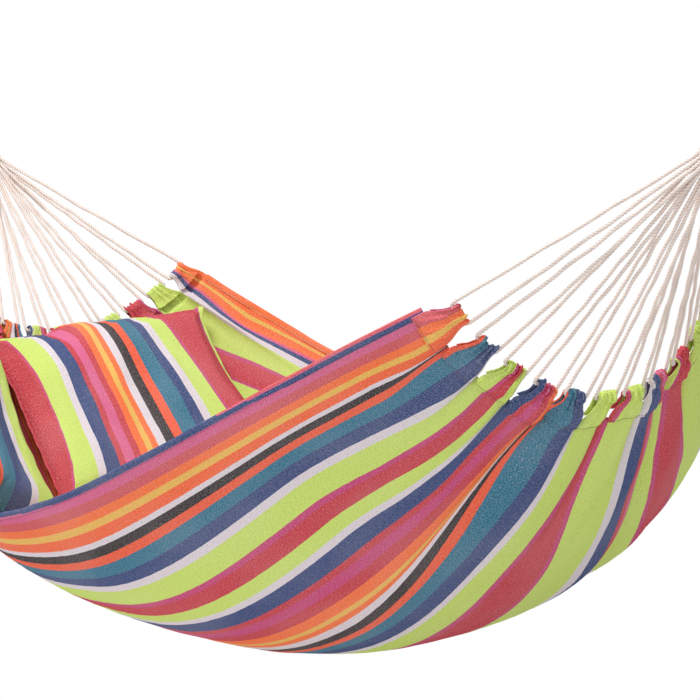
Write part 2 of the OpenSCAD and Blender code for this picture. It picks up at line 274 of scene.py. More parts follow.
def cloth_map(lon):
    """tau on LAT_FINE at one lon: over a fold tau runs fast, since it swallows cloth."""
    side = 1 if lon > 0 else -1
    inward = from_hem(lon)
    left = 1 - ease(0, 0.30, inward)
    if side > 0:
        # on the far half the draw of the deepest fold reaches far into the bed
        far = 1 - ease(0, 0.90, inward)
        left = left + (far - left) * ease(0.10, 0.35, LAT_FINE)
    tau = LAT_FINE + left * REMAINDER[side]
    for centre, run, strength, _, swallowed in fold_states(lon):
        # the swallowed cloth lies on one wall of the fold
        shift = 0.085 * swallowed * np.clip((centre + 0.15) / 0.5, -1, 1)
        jump = 0.5 + 0.5 * np.tanh(1.2 * ((LAT_FINE - centre + shift) / (0.006 + 0.020 * run)))
        tau = tau + strength * swallowed * (jump - ramp(centre, draw(swallowed)))
    if side > 0:
        centre = fold_states(lon)[LONG_FOLD][0]
        slant = 0.050 * inward / 0.09 * math.exp(1 - inward / 0.09)
        tau = tau + slant * np.exp(-((LAT_FINE - centre) / 0.11) ** 2)
    else:
        # the far wall hangs steeper at the left end, which draws its stripes up
        steep = 0.030 * np.exp(-((LAT_FINE - 0.87) / 0.075) ** 2)
        tau = tau + steep * ease(0.0, 0.3, -lon) * ease(0.0, 0.10, inward)
    # towards the middle of the bed the near side is drawn down to its rim
    low = ease(-1.0, -0.70, LAT_FINE) * (1 - ease(-0.66, -0.15, LAT_FINE))
    tau = tau - 0.075 * (1 - ease(0.10, 0.85, lon)) * ease(-0.9, -0.4, lon) * low
    tau = np.concatenate([[0], np.cumsum(np.maximum(np.diff(tau), MIN_TAU_STEP))])
    return -1 + 2 * tau / tau[-1]


def fold_height(lon, lat):
    """How far the folds stand towards the inside of the bed (lon scalar, lat array)."""
    height = np.zeros_like(lat)
    for centre, run, strength, depth, swallowed in fold_states(lon):
        width = (0.013 + 0.075 * swallowed) * (1 + 1.5 * run)
        x = np.sqrt(((lat - centre) / width) ** 2 + 0.02)
        shoulder = 0.16 * np.exp(-((x - 3.2) / 1.3) ** 2)
        height += strength * depth * (np.exp(-1.25 * x) - shoulder)
    return height


# ------------------------------------------------------ relief of the cloth
# height, frequency and offset along, frequency and offset across, slant, seed,
# strength in the middle, extra strength at the ends
WAVES = [
    (0.0052, 1.7, 5, 8.5, 9, 0.6, 11, 0.6, 0.9),
    (0.0026, 4.0, 2, 19, 3, 0, 12, 0.5, 1.4),
    (0.0009, 13, 1, 36, 7, 0, 13, 0.3, 1.2),
    (0.00035, 60, 0, 75, 0, 0, 14, 1, 0),
]


def half_width(lon):
    return 0.350 + 0.415 * bow(lon)


def under_pillow(lon, lat):
    """1 where a pillow lies, fading out over its edge."""
    cover = 0.0
    for pillow in (FAR, NEAR):
        off = np.abs(lat * half_width(lon) - pillow["shift"])
        half = pillow["width"] / 2
        share = 1 - ease(half - 0.01, half + 0.06, off)
        share = share * (1 - ease(pillow["foot"] - 0.01, pillow["foot"] + 0.06, lon))
        cover = np.maximum(cover, share)
    return cover


def relief(lon, lat):
    """Soft tension waves and small wrinkles of the bed, in m."""
    y = lat * half_width(lon)
    x = lon * 1.08
    end = ease(0.55, 0.95, np.abs(lon))
    height = 0
    for size, freq_x, off_x, freq_y, off_y, slant, seed, base, gain in WAVES:
        wave = noise(x * freq_x + off_x, y * freq_y + slant * x + off_y, seed)
        height = height + size * wave * (base + gain * end)
    # long shallow creases along the bed, deepest below the tabs
    pull = 0.30 + 0.70 * ease(0.60, 0.92, np.abs(lon))
    pull = pull * (1 - 0.85 * ease(0.915, 0.945, np.abs(lon)))
    height += pull * (0.0020 * noise(x * 1.5 + 7, y * 27 + 2, seed=16)
                      + 0.0010 * noise(x * 2.6 + 1, y * 62 + 5, seed=17))
    # the rims flutter
    rim = ease(0.90, 1.0, np.abs(lat))
    height += 0.0042 * noise(x * 6 + 4, np.sign(lat) * 3.0 + 10, seed=15) * rim
    return height * (1 - 0.93 * under_pillow(lon, lat))


# ------------------------------------------------------------ mesh helpers
def set_floats(mesh, values):
    for key, value in values.items():
        layer = mesh.attributes.new(key, "FLOAT", "POINT")
        layer.data.foreach_set("value", np.asarray(value, np.float32))


def make(name, verts, faces, mat, attrs=None):
    mesh = bpy.data.meshes.new(name)
    points = np.asarray(verts, float).reshape(-1, 3).tolist()
    mesh.from_pydata(points, [], [list(map(int, face)) for face in faces])
    set_floats(mesh, attrs or {})
    mesh.materials.append(mat)
    mesh.polygons.foreach_set("use_smooth", np.full(len(mesh.polygons), True))
    mesh.update()
    ob = bpy.data.objects.new(name, mesh)
    bpy.context.scene.collection.objects.link(ob)
    return ob


def register(ob, slot, rides_on, *replaced):
    if replaced:
        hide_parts(*replaced)
    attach(ob, rides_on)


def volume(verts, quads):
    tris = np.concatenate([quads[:, [0, 1, 2]], quads[:, [0, 2, 3]]])
    first, second, third = (verts[tris[:, k]] for k in range(3))
    return float(dot(first, np.cross(second, third)).sum() / 6)


def outward(verts, quads):
    return quads[:, ::-1] if volume(verts, quads) < 0 else quads


def grid_quads(index):
    return np.stack([index[:-1, :-1], index[1:, :-1], index[1:, 1:], index[:-1, 1:]],
                    -1).reshape(-1, 4)


def ring_quads(index, closed=False):
    """Quads between rings of vertices; closed joins the last ring to the first."""
    here, after = (index, np.roll(index, -1, 0)) if closed else (index[:-1], index[1:])
    return np.stack([here, np.roll(here, -1, 1), np.roll(after, -1, 1), after],
                    -1).reshape(-1, 4)


def fan(hub, ring, flip=False):
    """Cap of quads from a hub vertex to a ring with an even count."""
    first, middle, last = ring[::2], np.roll(ring, -1)[::2], np.roll(ring, -2)[::2]
    if flip:
        first, last = last, first
    return np.stack([np.full(len(first), hub), first, middle, last], -1)


def slab(middle, normals, thickness):
    """Closed skin round a grid of points (rows, columns, 3)."""
    rows, cols = middle.shape[:2]
    count = rows * cols
    verts = np.concatenate([(middle + normals * thickness / 2).reshape(-1, 3),
                            (middle - normals * thickness / 2).reshape(-1, 3)])
    index = np.arange(count).reshape(rows, cols)
    top = grid_quads(index)
    faces = [top, top[:, ::-1] + count]
    for line, flip in ((index[:, 0], False), (index[:, -1], True),
                       (index[0, :], True), (index[-1, :], False)):
        here, after = line[:-1], line[1:]
        edge = np.stack([here, here + count, after + count, after], -1)
        faces.append(edge[:, ::-1] if flip else edge)
    return verts, outward(verts, np.concatenate(faces))


def normals_of(grid):
    return unit(np.cross(np.gradient(grid, axis=0), np.gradient(grid, axis=1)))


def transport(path, closed):
    """Rotation-minimising frames along a polyline."""
    if closed:
        tangent = unit(np.roll(path, -1, 0) - np.roll(path, 1, 0))
    else:
        tangent = unit(np.gradient(path, axis=0))
    start = np.cross(tangent[0], [0.31, 0.17, 0.93])
    normal = np.zeros_like(path)
    normal[0] = start / np.linalg.norm(start)
    for i in range(1, len(path)):
        vec = normal[i - 1] - tangent[i] * (normal[i - 1] @ tangent[i])
        normal[i] = vec / max(np.linalg.norm(vec), 1e-12)
    return tangent, normal, np.cross(tangent, normal)


def tube(path, radius, sides, closed=False):
    """Swept tube; radius is a number, one per ring, or (rings, sides). Open ends are capped."""
    path = np.asarray(path, float)
    tangent, normal, binormal = transport(path, closed)
    angle = np.arange(sides) / sides * 2 * PI
    radius = np.asarray(radius, float)
    if radius.ndim < 2:
        radius = np.broadcast_to(radius.reshape(-1, 1), (len(path), sides))
    spokes = (np.cos(angle)[None, :, None] * normal[:, None]
              + np.sin(angle)[None, :, None] * binormal[:, None])
    verts = (path[:, None] + radius[..., None] * spokes).reshape(-1, 3)
    index = np.arange(len(path) * sides).reshape(len(path), sides)
    faces = ring_quads(index, closed)
    if closed:
        return verts, faces
    hub = len(verts)
    verts = np.concatenate([verts, [path[0] - tangent[0] * radius[0].mean() * 0.5,
                                    path[-1] + tangent[-1] * radius[-1].mean() * 0.5]])
    return verts, np.concatenate([faces, fan(hub, index[0], flip=True),
                                  fan(hub + 1, index[-1])])


def join(parts):
    """Joins (verts, faces, attributes) parts into one."""
    verts, faces, attrs, base = [], [], {}, 0
    for part_verts, part_faces, part_attrs in parts:
        verts.append(part_verts)
        faces.append(part_faces + base)
        base += len(part_verts)
        for key, value in part_attrs.items():
            attrs.setdefault(key, []).append(value)
    attrs = {key: np.concatenate(value) for key, value in attrs.items()}
    return np.concatenate(verts), np.concatenate(faces), attrs


# ------------------------------------------------------------- materials
LIME = (207, 232, 108)
RED = (205, 54, 70)
MAGENTA = (204, 64, 122)
PINK = (222, 96, 144)
ROSE = (216, 84, 92)
TANGERINE = (252, 106, 54)
ORANGE = (255, 116, 48)
GOLD = (243, 190, 84)
ORED = (244, 92, 52)                    # orange red
WHITE = (228, 219, 226)
BLACK = (32, 30, 34)
TEAL = (30, 118, 146)
NAVY = (36, 70, 126)

# tau at the far edge of each stripe, and its colour
STRIPES = [
    (-0.986, NAVY), (-0.962, PINK), (-0.940, ROSE), (-0.920, ORANGE), (-0.903, GOLD),
    (-0.881, TANGERINE), (-0.868, WHITE), (-0.850, BLACK), (-0.829, ORED), (-0.800, TEAL),
    (-0.765, NAVY), (-0.742, WHITE), (-0.674, LIME), (-0.655, MAGENTA), (-0.603, RED),
    (-0.558, LIME), (-0.535, WHITE), (-0.478, NAVY), (-0.457, RED), (-0.415, MAGENTA),
    (-0.372, RED), (-0.330, ORANGE), (-0.312, GOLD), (-0.288, ORANGE), (-0.255, WHITE),
    (-0.226, BLACK), (-0.200, ORED), (-0.163, TEAL), (-0.120, NAVY), (-0.098, WHITE),
    (-0.009, LIME), (0.012, MAGENTA), (0.110, RED), (0.122, MAGENTA), (0.245, LIME),
    (0.280, WHITE), (0.330, NAVY), (0.350, RED), (0.382, PINK), (0.400, RED),
    (0.420, ORANGE), (0.435, GOLD), (0.450, ORANGE), (0.472, WHITE), (0.495, BLACK),
    (0.515, ORED), (0.550, TEAL), (0.585, NAVY), (0.608, WHITE), (0.680, LIME),
    (0.695, MAGENTA), (0.775, RED), (0.790, MAGENTA), (0.885, LIME), (0.920, WHITE),
    (0.935, NAVY), (0.945, PINK), (0.962, ORANGE), (0.972, GOLD), (1.01, ORANGE)]
WEAVE_PERIOD = 0.0025                   # two threads


def linear(rgb):
    """Scene-linear RGBA of an 8-bit sRGB colour."""
    value = np.asarray(rgb, float) / 255
    value = np.where(value <= 0.04045, value / 12.92, ((value + 0.055) / 1.055) ** 2.4)
    return tuple(float(v) for v in value) + (1.0,)


class Shader:
    """Small builder for node materials."""

    def __init__(self, name):
        self.mat = bpy.data.materials.new(name)
        self.mat.use_nodes = True
        self.tree = self.mat.node_tree
        self.tree.nodes.clear()
        self.out = self.node("OutputMaterial")
        self.bsdf = self.node("BsdfPrincipled")
        self.link(self.bsdf.outputs["BSDF"], self.out.inputs["Surface"])

    def node(self, kind):
        return self.tree.nodes.new("ShaderNode" + kind)

    def link(self, source, target):
        self.tree.links.new(source, target)

    def put(self, socket, value):
        if hasattr(value, "is_output"):
            self.link(value, socket)
        else:
            socket.default_value = value

    def surface(self, inputs):
        for name, value in inputs.items():
            self.put(self.bsdf.inputs[name], value)

    def math(self, operation, *values, clamp=False):
        node = self.node("Math")
        node.operation = operation
        node.use_clamp = clamp
        for i, value in enumerate(values):
            self.put(node.inputs[i], value)
        return node.outputs[0]

    def attr(self, name):
        node = self.node("Attribute")
        node.attribute_name = name
        return node.outputs["Fac"]

    def coords(self):
        return self.node("TexCoord").outputs["Object"]

    def xyz(self, *values):
        node = self.node("CombineXYZ")
        for i, value in enumerate(values):
            self.put(node.inputs[i], value)
        return node.outputs[0]

    def noise(self, vec, scale, detail=2.0, rough=0.5):
        node = self.node("TexNoise")
        self.link(vec, node.inputs["Vector"])
        node.inputs["Scale"].default_value = scale
        node.inputs["Detail"].default_value = detail
        node.inputs["Roughness"].default_value = rough
        return node.outputs["Fac"]

    def step(self, x, source, target=(0.0, 1.0)):
        """Smooth map of the source range onto the target range."""
        node = self.node("MapRange")
        node.interpolation_type = "SMOOTHSTEP"
        self.put(node.inputs["Value"], x)
        node.inputs["From Min"].default_value = source[0]
        node.inputs["From Max"].default_value = source[1]
        node.inputs["To Min"].default_value = target[0]
        node.inputs["To Max"].default_value = target[1]
        return node.outputs[0]

    def mix(self, factor, first, second, mode="MIX"):
        node = self.node("Mix")
        node.data_type = "RGBA"
        node.blend_type = mode
        # sockets 6, 7 and output 2 are the colour ones
        self.put(node.inputs[0], factor)
        self.put(node.inputs[6], first)
        self.put(node.inputs[7], second)
        return node.outputs[2]

    def ramp(self, factor, stops):
        node = self.node("ValToRGB")
        node.color_ramp.interpolation = "CONSTANT"
        self.put(node.inputs[0], factor)
        elements = node.color_ramp.elements
        while len(elements) > 1:
            elements.remove(elements[-1])
        elements[0].position, elements[0].color = stops[0]
        for position, color in stops[1:]:
            elements.new(position).color = color
        return node.outputs[0]

    def bump(self, height, strength, distance, normal=None):
        node = self.node("Bump")
        node.inputs["Strength"].default_value = strength
        node.inputs["Distance"].default_value = distance
        self.link(height, node.inputs["Height"])
        if normal is not None:
            self.link(normal, node.inputs["Normal"])
        return node.outputs[0]


def stripe_stops():
    """Ramp stops of the near half (tau + 1) and the far half (tau)."""
    near, far = [], []
    start = -1.0
    for end, rgb in STRIPES:
        if start < 0:
            near.append((start + 1.0, linear(rgb)))
        if end > 0:
            far.append((max(start, 0.0), linear(rgb)))
        start = end
    return near, far


def cloth_material(name):
    """Heathered plain weave: stripes by tau, coloured warp over a pale weft.
    wu and wv are metres along and across the cloth."""
    mat = Shader(name)
    tau = mat.attr("tau")
    pos_u, pos_v = mat.attr("wu"), mat.attr("wv")

    def grain(freq_u, freq_v, slice_z=0.0, detail=2.0, rough=0.5):
        vec = mat.xyz(mat.math("MULTIPLY", pos_u, freq_u),
                      mat.math("MULTIPLY", pos_v, freq_v), slice_z)
        return mat.noise(vec, scale=1.0, detail=detail, rough=rough)

    # slightly uneven selvedges between stripes
    wobble = grain(60.0, 60.0, detail=1.0)
    wobble = mat.math("MULTIPLY", mat.math("SUBTRACT", wobble, 0.5), 0.0016)
    tau = mat.math("ADD", tau, wobble)
    near_stops, far_stops = stripe_stops()
    near = mat.ramp(mat.math("ADD", tau, 1.0), near_stops)
    far = mat.ramp(tau, far_stops)
    warp = mat.mix(mat.math("GREATER_THAN", tau, 0.0), near, far)
    wave_u, wave_v = (mat.math("SINE", mat.math("MULTIPLY", pos, 2 * PI / WEAVE_PERIOD))
                      for pos in (pos_u, pos_v))
    weave = mat.math("MULTIPLY", wave_u, wave_v)
    # slubs: short pale flecks that follow the threads
    slub_u = grain(170.0, 620.0, rough=0.6)
    slub_v = grain(640.0, 150.0, slice_z=7.0, rough=0.6)
    fleck = mat.math("MAXIMUM", mat.step(slub_u, (0.55, 0.74)), mat.step(slub_v, (0.57, 0.76)))
    weft = mat.math("MULTIPLY", mat.step(weave, (-0.2, 0.9)), 0.11)
    pale = mat.math("ADD", weft, mat.math("MULTIPLY", fleck, 0.20), clamp=True)
    dark = mat.math("MULTIPLY", mat.step(slub_u, (0.30, 0.48), (1.0, 0.0)), 0.22)
    fade = grain(5.0, 9.0, slice_z=3.0, detail=3.0)
    color = mat.mix(pale, warp, linear((236, 214, 214)))
    color = mat.mix(dark, color, linear((60, 40, 52)), "MULTIPLY")
    color = mat.mix(mat.step(fade, (0.35, 0.70), (0.0, 0.05)), color, linear((255, 250, 246)))
    # heather: fine light and dark grain along the warp
    heather = grain(330.0, 760.0, slice_z=11.0, rough=0.7)
    light = mat.step(heather, (0.50, 0.70), (0.0, 0.28))
    color = mat.mix(light, color, linear((244, 228, 226)))
    shade = mat.step(heather, (0.30, 0.50), (0.36, 0.0))
    color = mat.mix(shade, color, linear((84, 64, 76)), "MULTIPLY")
    mat.surface({
        "Base Color": color,
        "Roughness": mat.step(slub_u, (0.3, 0.7), (0.86, 0.74)),
        "Sheen Weight": 0.0,
        "Sheen Roughness": 0.5,
        "Specular IOR Level": 0.03,
    })
    fine = mat.bump(weave, strength=0.35, distance=0.00022)
    coarse = mat.bump(slub_u, strength=0.45, distance=0.0005, normal=fine)
    mat.surface({"Normal": coarse})
    return mat.mat


def cord_material(name, base, deep, fibre_scale):
    """Twisted cotton: pale strands, painted shade in the grooves, fine fibre grain."""
    mat = Shader(name)
    groove = mat.attr("groove")
    coords = mat.coords()
    fibre = mat.noise(coords, fibre_scale, detail=3.0, rough=0.6)
    patch = mat.noise(coords, scale=45.0)
    # painted shade: where the groove value is high the colour goes towards the deep tone
    shade = mat.step(groove, (0.15, 0.95), (0.0, 0.62))
    color = mat.mix(shade, linear(base), linear(deep))
    color = mat.mix(mat.step(fibre, (0.45, 0.75), (0.0, 0.30)), color, linear((250, 246, 240)))
    color = mat.mix(mat.step(patch, (0.35, 0.7), (0.0, 0.16)), color, linear(deep))
    mat.surface({
        "Base Color": color,
        "Roughness": 0.88,
        "Sheen Weight": 0.2,
        "Specular IOR Level": 0.2,
        "Normal": mat.bump(fibre, strength=0.6, distance=0.0004),
    })
    return mat.mat


def thread_material(name, base):
    mat = Shader(name)
    fibre = mat.noise(mat.coords(), scale=1400.0, rough=0.6)
    lighter = [min(255, channel * 1.25 + 12) for channel in base]
    share = mat.step(fibre, (0.35, 0.7), (0.0, 0.5))
    mat.surface({
        "Base Color": mat.mix(share, linear(base), linear(lighter)),
        "Roughness": 0.7,
        "Normal": mat.bump(fibre, strength=0.4, distance=0.0002),
    })
    return mat.mat


def steel_material(name):
    mat = Shader(name)
    coords = mat.coords()
    mottle = mat.noise(coords, scale=160.0, detail=4.0, rough=0.6)
    fine = mat.noise(coords, scale=1500.0, rough=0.6)
    patch = mat.noise(coords, scale=30.0)
    zinc = mat.step(mottle, (0.35, 0.68))
    color = mat.mix(zinc, linear((176, 180, 184)), linear((202, 205, 208)))
    color = mat.mix(mat.step(patch, (0.55, 0.75), (0.0, 0.5)), color, linear((140, 143, 148)))
    mat.surface({
        "Base Color": color,
        "Metallic": 1.0,
        "Roughness": mat.step(mottle, (0.3, 0.7), (0.26, 0.44)),
        "Normal": mat.bump(fine, strength=0.25, distance=0.0002),
    })
    return mat.mat


CLOTH = cloth_material("striped_cotton")
CORD = cord_material("twisted_cotton_cord", base=(247, 233, 225), deep=(178, 156, 143),
                     fibre_scale=900.0)
WHIP = cord_material("whipping_twine", base=(232, 220, 206), deep=(140, 114, 94),
                     fibre_scale=1200.0)
SERVED = cord_material("served_rope_twine", base=(236, 225, 212), deep=(146, 120, 100),
                       fibre_scale=1200.0)
STEEL = steel_material("zinc_plated_steel")
THREAD_DARK = thread_material("dark_sewing_thread", (74, 70, 104))
THREAD_SEAM = thread_material("seam_sewing_thread", (128, 92, 104))
THREAD_LIME = thread_material("pale_sewing_thread", (214, 222, 178))


# ------------------------------------------------------------- cloth bed
def bed_rows():
    """lon of the rows along the bed, close together at the two hems."""
    x = np.linspace(-1, 1, ROW_COUNT)
    return HEM_LON * np.sign(x) * (1 - (1 - np.abs(x)) * (1 - 0.45 * np.abs(x) ** 2))


TAU = np.linspace(-1, 1, COLS)


def bed_grid():
    rows = bed_rows()
    lat = np.stack([np.interp(TAU, cloth_map(lon), LAT_FINE) for lon in rows])
    folds = np.stack([fold_height(lon, lat[i]) for i, lon in enumerate(rows)])
    lon = np.repeat(rows[:, None], COLS, 1)
    return at(lon, lat, folds + relief(lon, lat))


BED = bed_grid()
BED_NORMALS = normals_of(BED)


def build_bed():
    verts, faces = slab(BED, BED_NORMALS, CLOTH_THICK)
    run = lengths(BED[:, COLS // 2])
    run -= run[-1] / 2
    ob = make("bed_cloth_sheet", verts, faces, CLOTH, {
        "tau": np.tile(TAU, 2 * ROW_COUNT),
        "wu": np.tile(np.repeat(run, COLS), 2),
        "wv": np.tile(TAU * CLOTH_HALF, 2 * ROW_COUNT)})
    register(ob, "striped_cloth", "hammock", "bed_cloth")


build_bed()

# ---------------------------------------------------------- rim hems
RIM_POINTS = 520
RIM_IN, RIM_OUT = 0.0120, 0.0130        # hem width on the inner and outer face
# (distance in from the cloth edge, height): up the inner face, round the edge, down the
# outer face
RIM_PROFILE = [
    (RIM_IN, 0.0012), (RIM_IN - 0.001, 0.0026), (0.006, 0.0031), (0.001, 0.0033),
    (-0.0016, 0.0024), (-0.0027, 0.0004), (-0.0020, -0.0020), (0.001, -0.0033),
    (0.004, -0.0032), (0.007, -0.0031), (0.0085, -0.0030), (0.010, -0.0029),
    (RIM_OUT - 0.001, -0.0026), (RIM_OUT, -0.0012)]
RIM_CLOSING = [(RIM_OUT, -0.0009), (RIM_IN, 0.0009)]      # back along the cloth
RIM_STITCH = 0.0052                     # pitch


def rim_frames(sign):
    """Distance, points, outward directions and normals along a rim."""
    # columns counted in from this rim
    grid, normals = BED[:, ::-sign], BED_NORMALS[:, ::-sign]
    edge = grid[:, 0]
    tangent = unit(np.gradient(edge, axis=0))
    outside = unit(edge - grid[:, 3])
    outside = unit(outside - tangent * dot(outside, tangent)[:, None])
    normal = unit(np.cross(tangent, outside))
    normal = normal * (1 if np.sign(dot(normal, normals[:, 1])).mean() > 0 else -1)
    dist = lengths(edge)
    run = np.linspace(0, dist[-1], RIM_POINTS)
    return (run, sample(edge, dist, run), unit(sample(outside, dist, run)),
            unit(sample(normal, dist, run)))


def near_rim_tau(share, insets):
    """The near hem is turned by a varying width: one dark stripe shows on it, and near the
    right end a thin red one comes up over the edge."""
    wide = 0.0044 + 0.0050 * ease(0.42, 0.66, share) + 0.0006 * noise(share * 11, 1, seed=37)
    wide = wide + 0.0060 * ease(0.80, 0.93, share)
    red = (-0.0010 + 0.0034 * ease(0.74, 0.90, share))[:, None]
    inner_face = np.arange(len(insets)) < 5
    inner_face[-1] = True
    tau = np.where((insets < wide[:, None]) | inner_face, -0.995, -0.970)
    return np.where((insets < red) & (red > 0), -0.948, tau)


def build_rim_stitches(name, mat, run, points, outside, normal):
    parts = []
    share = np.linspace(0, 1, 5)
    lift = 0.0029 + 0.00035 * np.sin(PI * share)
    for face, inset in ((1, RIM_IN - 0.0022), (-1, RIM_OUT - 0.0022)):
        for start in np.arange(0.01, run[-1] - 0.01, RIM_STITCH):
            pos = start + (share * 0.62) * RIM_STITCH
            k = np.interp(pos, run, np.arange(len(run))).astype(int)
            k = np.minimum(k, len(run) - 2)
            path = sample(points, run, pos) - outside[k] * inset
            path = path + normal[k] * (face * lift)[:, None]
            parts.append((*tube(path, 0.00042, sides=6), {}))
    verts, faces, _ = join(parts)
    register(make(name, verts, faces, mat), "striped_cloth", "hammock")


def build_rim(label, sign, puff_seed, roll_seed, thread):
    """Turned double hem along a side rim: a soft U round the cloth edge, with its stitches."""
    run, points, outside, normal = rim_frames(sign)
    puff = 0.0005 * noise(run * 70, 1, puff_seed)
    roll = 0.0008 * noise(run * 18, 1, roll_seed)
    lines = []
    for inset, height in RIM_PROFILE:
        swell = np.sign(height) * puff * (1.0 if abs(height) > 0.0015 else 0.0)
        shift = roll * (1.0 if inset < 0.004 else 0.3)
        lines.append(points - outside * inset + normal * (height + swell)[:, None]
                     + outside * shift[:, None])
    for inset, height in RIM_CLOSING:
        lines.append(points - outside * inset + normal * height)
    grid = np.stack(lines, 1)
    ring = len(lines)
    verts = grid.reshape(-1, 3)
    index = np.arange(len(verts)).reshape(-1, ring)
    quads = ring_quads(index)
    hub = len(verts)
    verts = np.concatenate([verts, [grid[0].mean(0), grid[-1].mean(0)]])
    caps = []
    for k in range(ring):
        after = (k + 1) % ring
        caps.append([hub, index[0, after], index[0, k]])
        caps.append([hub + 1, index[-1, k], index[-1, after]])
    caps = np.array(caps)
    faces = list(quads) + list(caps)
    if volume(verts, np.concatenate([quads, caps[:, [0, 1, 2, 2]]])) < 0:
        faces = [face[::-1] for face in faces]
    insets = np.array([inset for inset, _ in RIM_PROFILE + RIM_CLOSING])
    if sign > 0:
        tau = np.tile(1 - np.clip(insets, 0, 1) / CLOTH_HALF, (len(points), 1))
    else:
        tau = near_rim_tau(run / run[-1], insets)
    ob = make(label + "_rim_hem", verts, faces, CLOTH, {
        "tau": np.concatenate([tau.ravel(), [tau.mean()] * 2]),
        "wu": np.concatenate([np.repeat(run, ring), [0, 0]]),
        "wv": np.concatenate([np.tile(sign * (CLOTH_HALF - insets), len(points)), [0, 0]])})
    register(ob, "striped_cloth", "hammock")
    build_rim_stitches(label + "_rim_stitches", thread, run, points, outside, normal)


build_rim("near", -1, puff_seed=31, roll_seed=33, thread=THREAD_DARK)
build_rim("far", 1, puff_seed=32, roll_seed=34, thread=THREAD_LIME)

# ------------------------------------------------------------- end tabs
TAB_ROWS, TAB_COLS = 76, 57
TAB_THICK = 0.0022
TAB_BASE_WIDTH = 0.0630
CORD_HEIGHT = 0.002                     # cord axis over the bed surface
SEAM_INSET = 0.0035                     # stitch line from the base edge
TAB_STITCH = 0.0038                     # pitch


def tab_lat(i):
    return -1 + (2 * i + 1) / TABS


def tab_profile(base_end, bend_radius):
    """Section of a tab loop round its cord: distance run, distance from the cord axis towards
    the bed, height, and the normal outward from the loop in those two."""
    angle = np.radians(np.linspace(62, 298, 15))
    arc = [(bend_radius * math.cos(a), CORD_HEIGHT + bend_radius * math.sin(a)) for a in angle]
    outline = [(0.0365, 0.0020), (0.030, 0.0024), (0.022, 0.0034), (0.013, 0.0058)] + arc
    outline += [(0.014, -0.0046), (0.024, -0.0060), (0.036, -0.0056), (0.048, -0.0046),
                (base_end - 0.006, -0.0044), (base_end, -0.0048)]
    fine = resample(outline, 0.0002)
    # a running mean rounds the corner points
    padded = np.pad(fine, ((10, 10), (0, 0)), "edge")
    fine = np.stack([np.convolve(column, np.ones(21) / 21, "valid") for column in padded.T],
                    -1)
    dist = lengths(fine)
    run = np.linspace(0, dist[-1], TAB_ROWS)
    back, height = sample(fine, dist, run).T
    slope_b, slope_h = np.gradient(back), np.gradient(height)
    size = np.hypot(slope_b, slope_h)
    normal_b, normal_h = slope_h / size, -slope_b / size
    if normal_b[np.argmin(back)] > 0:
        normal_b, normal_h = -normal_b, -normal_h
    return run, back, height, normal_b, normal_h


def tab_stitches(line, lift_dir):
    """Stitches along a line; each bulges a little along lift_dir."""
    line = resample(line, 0.0009)
    dist = lengths(line)
    bulge = lift_dir[None] * (0.0004 * np.sin(np.linspace(0, PI, 5)))[:, None]
    parts = []
    pos = 0.0015
    while pos + TAB_STITCH * 0.7 < dist[-1]:
        path = sample(line, dist, np.linspace(pos, pos + TAB_STITCH * 0.66, 5)) + bulge
        parts.append((*tube(path, 0.00036, sides=6), {}))
        pos += TAB_STITCH
    return parts


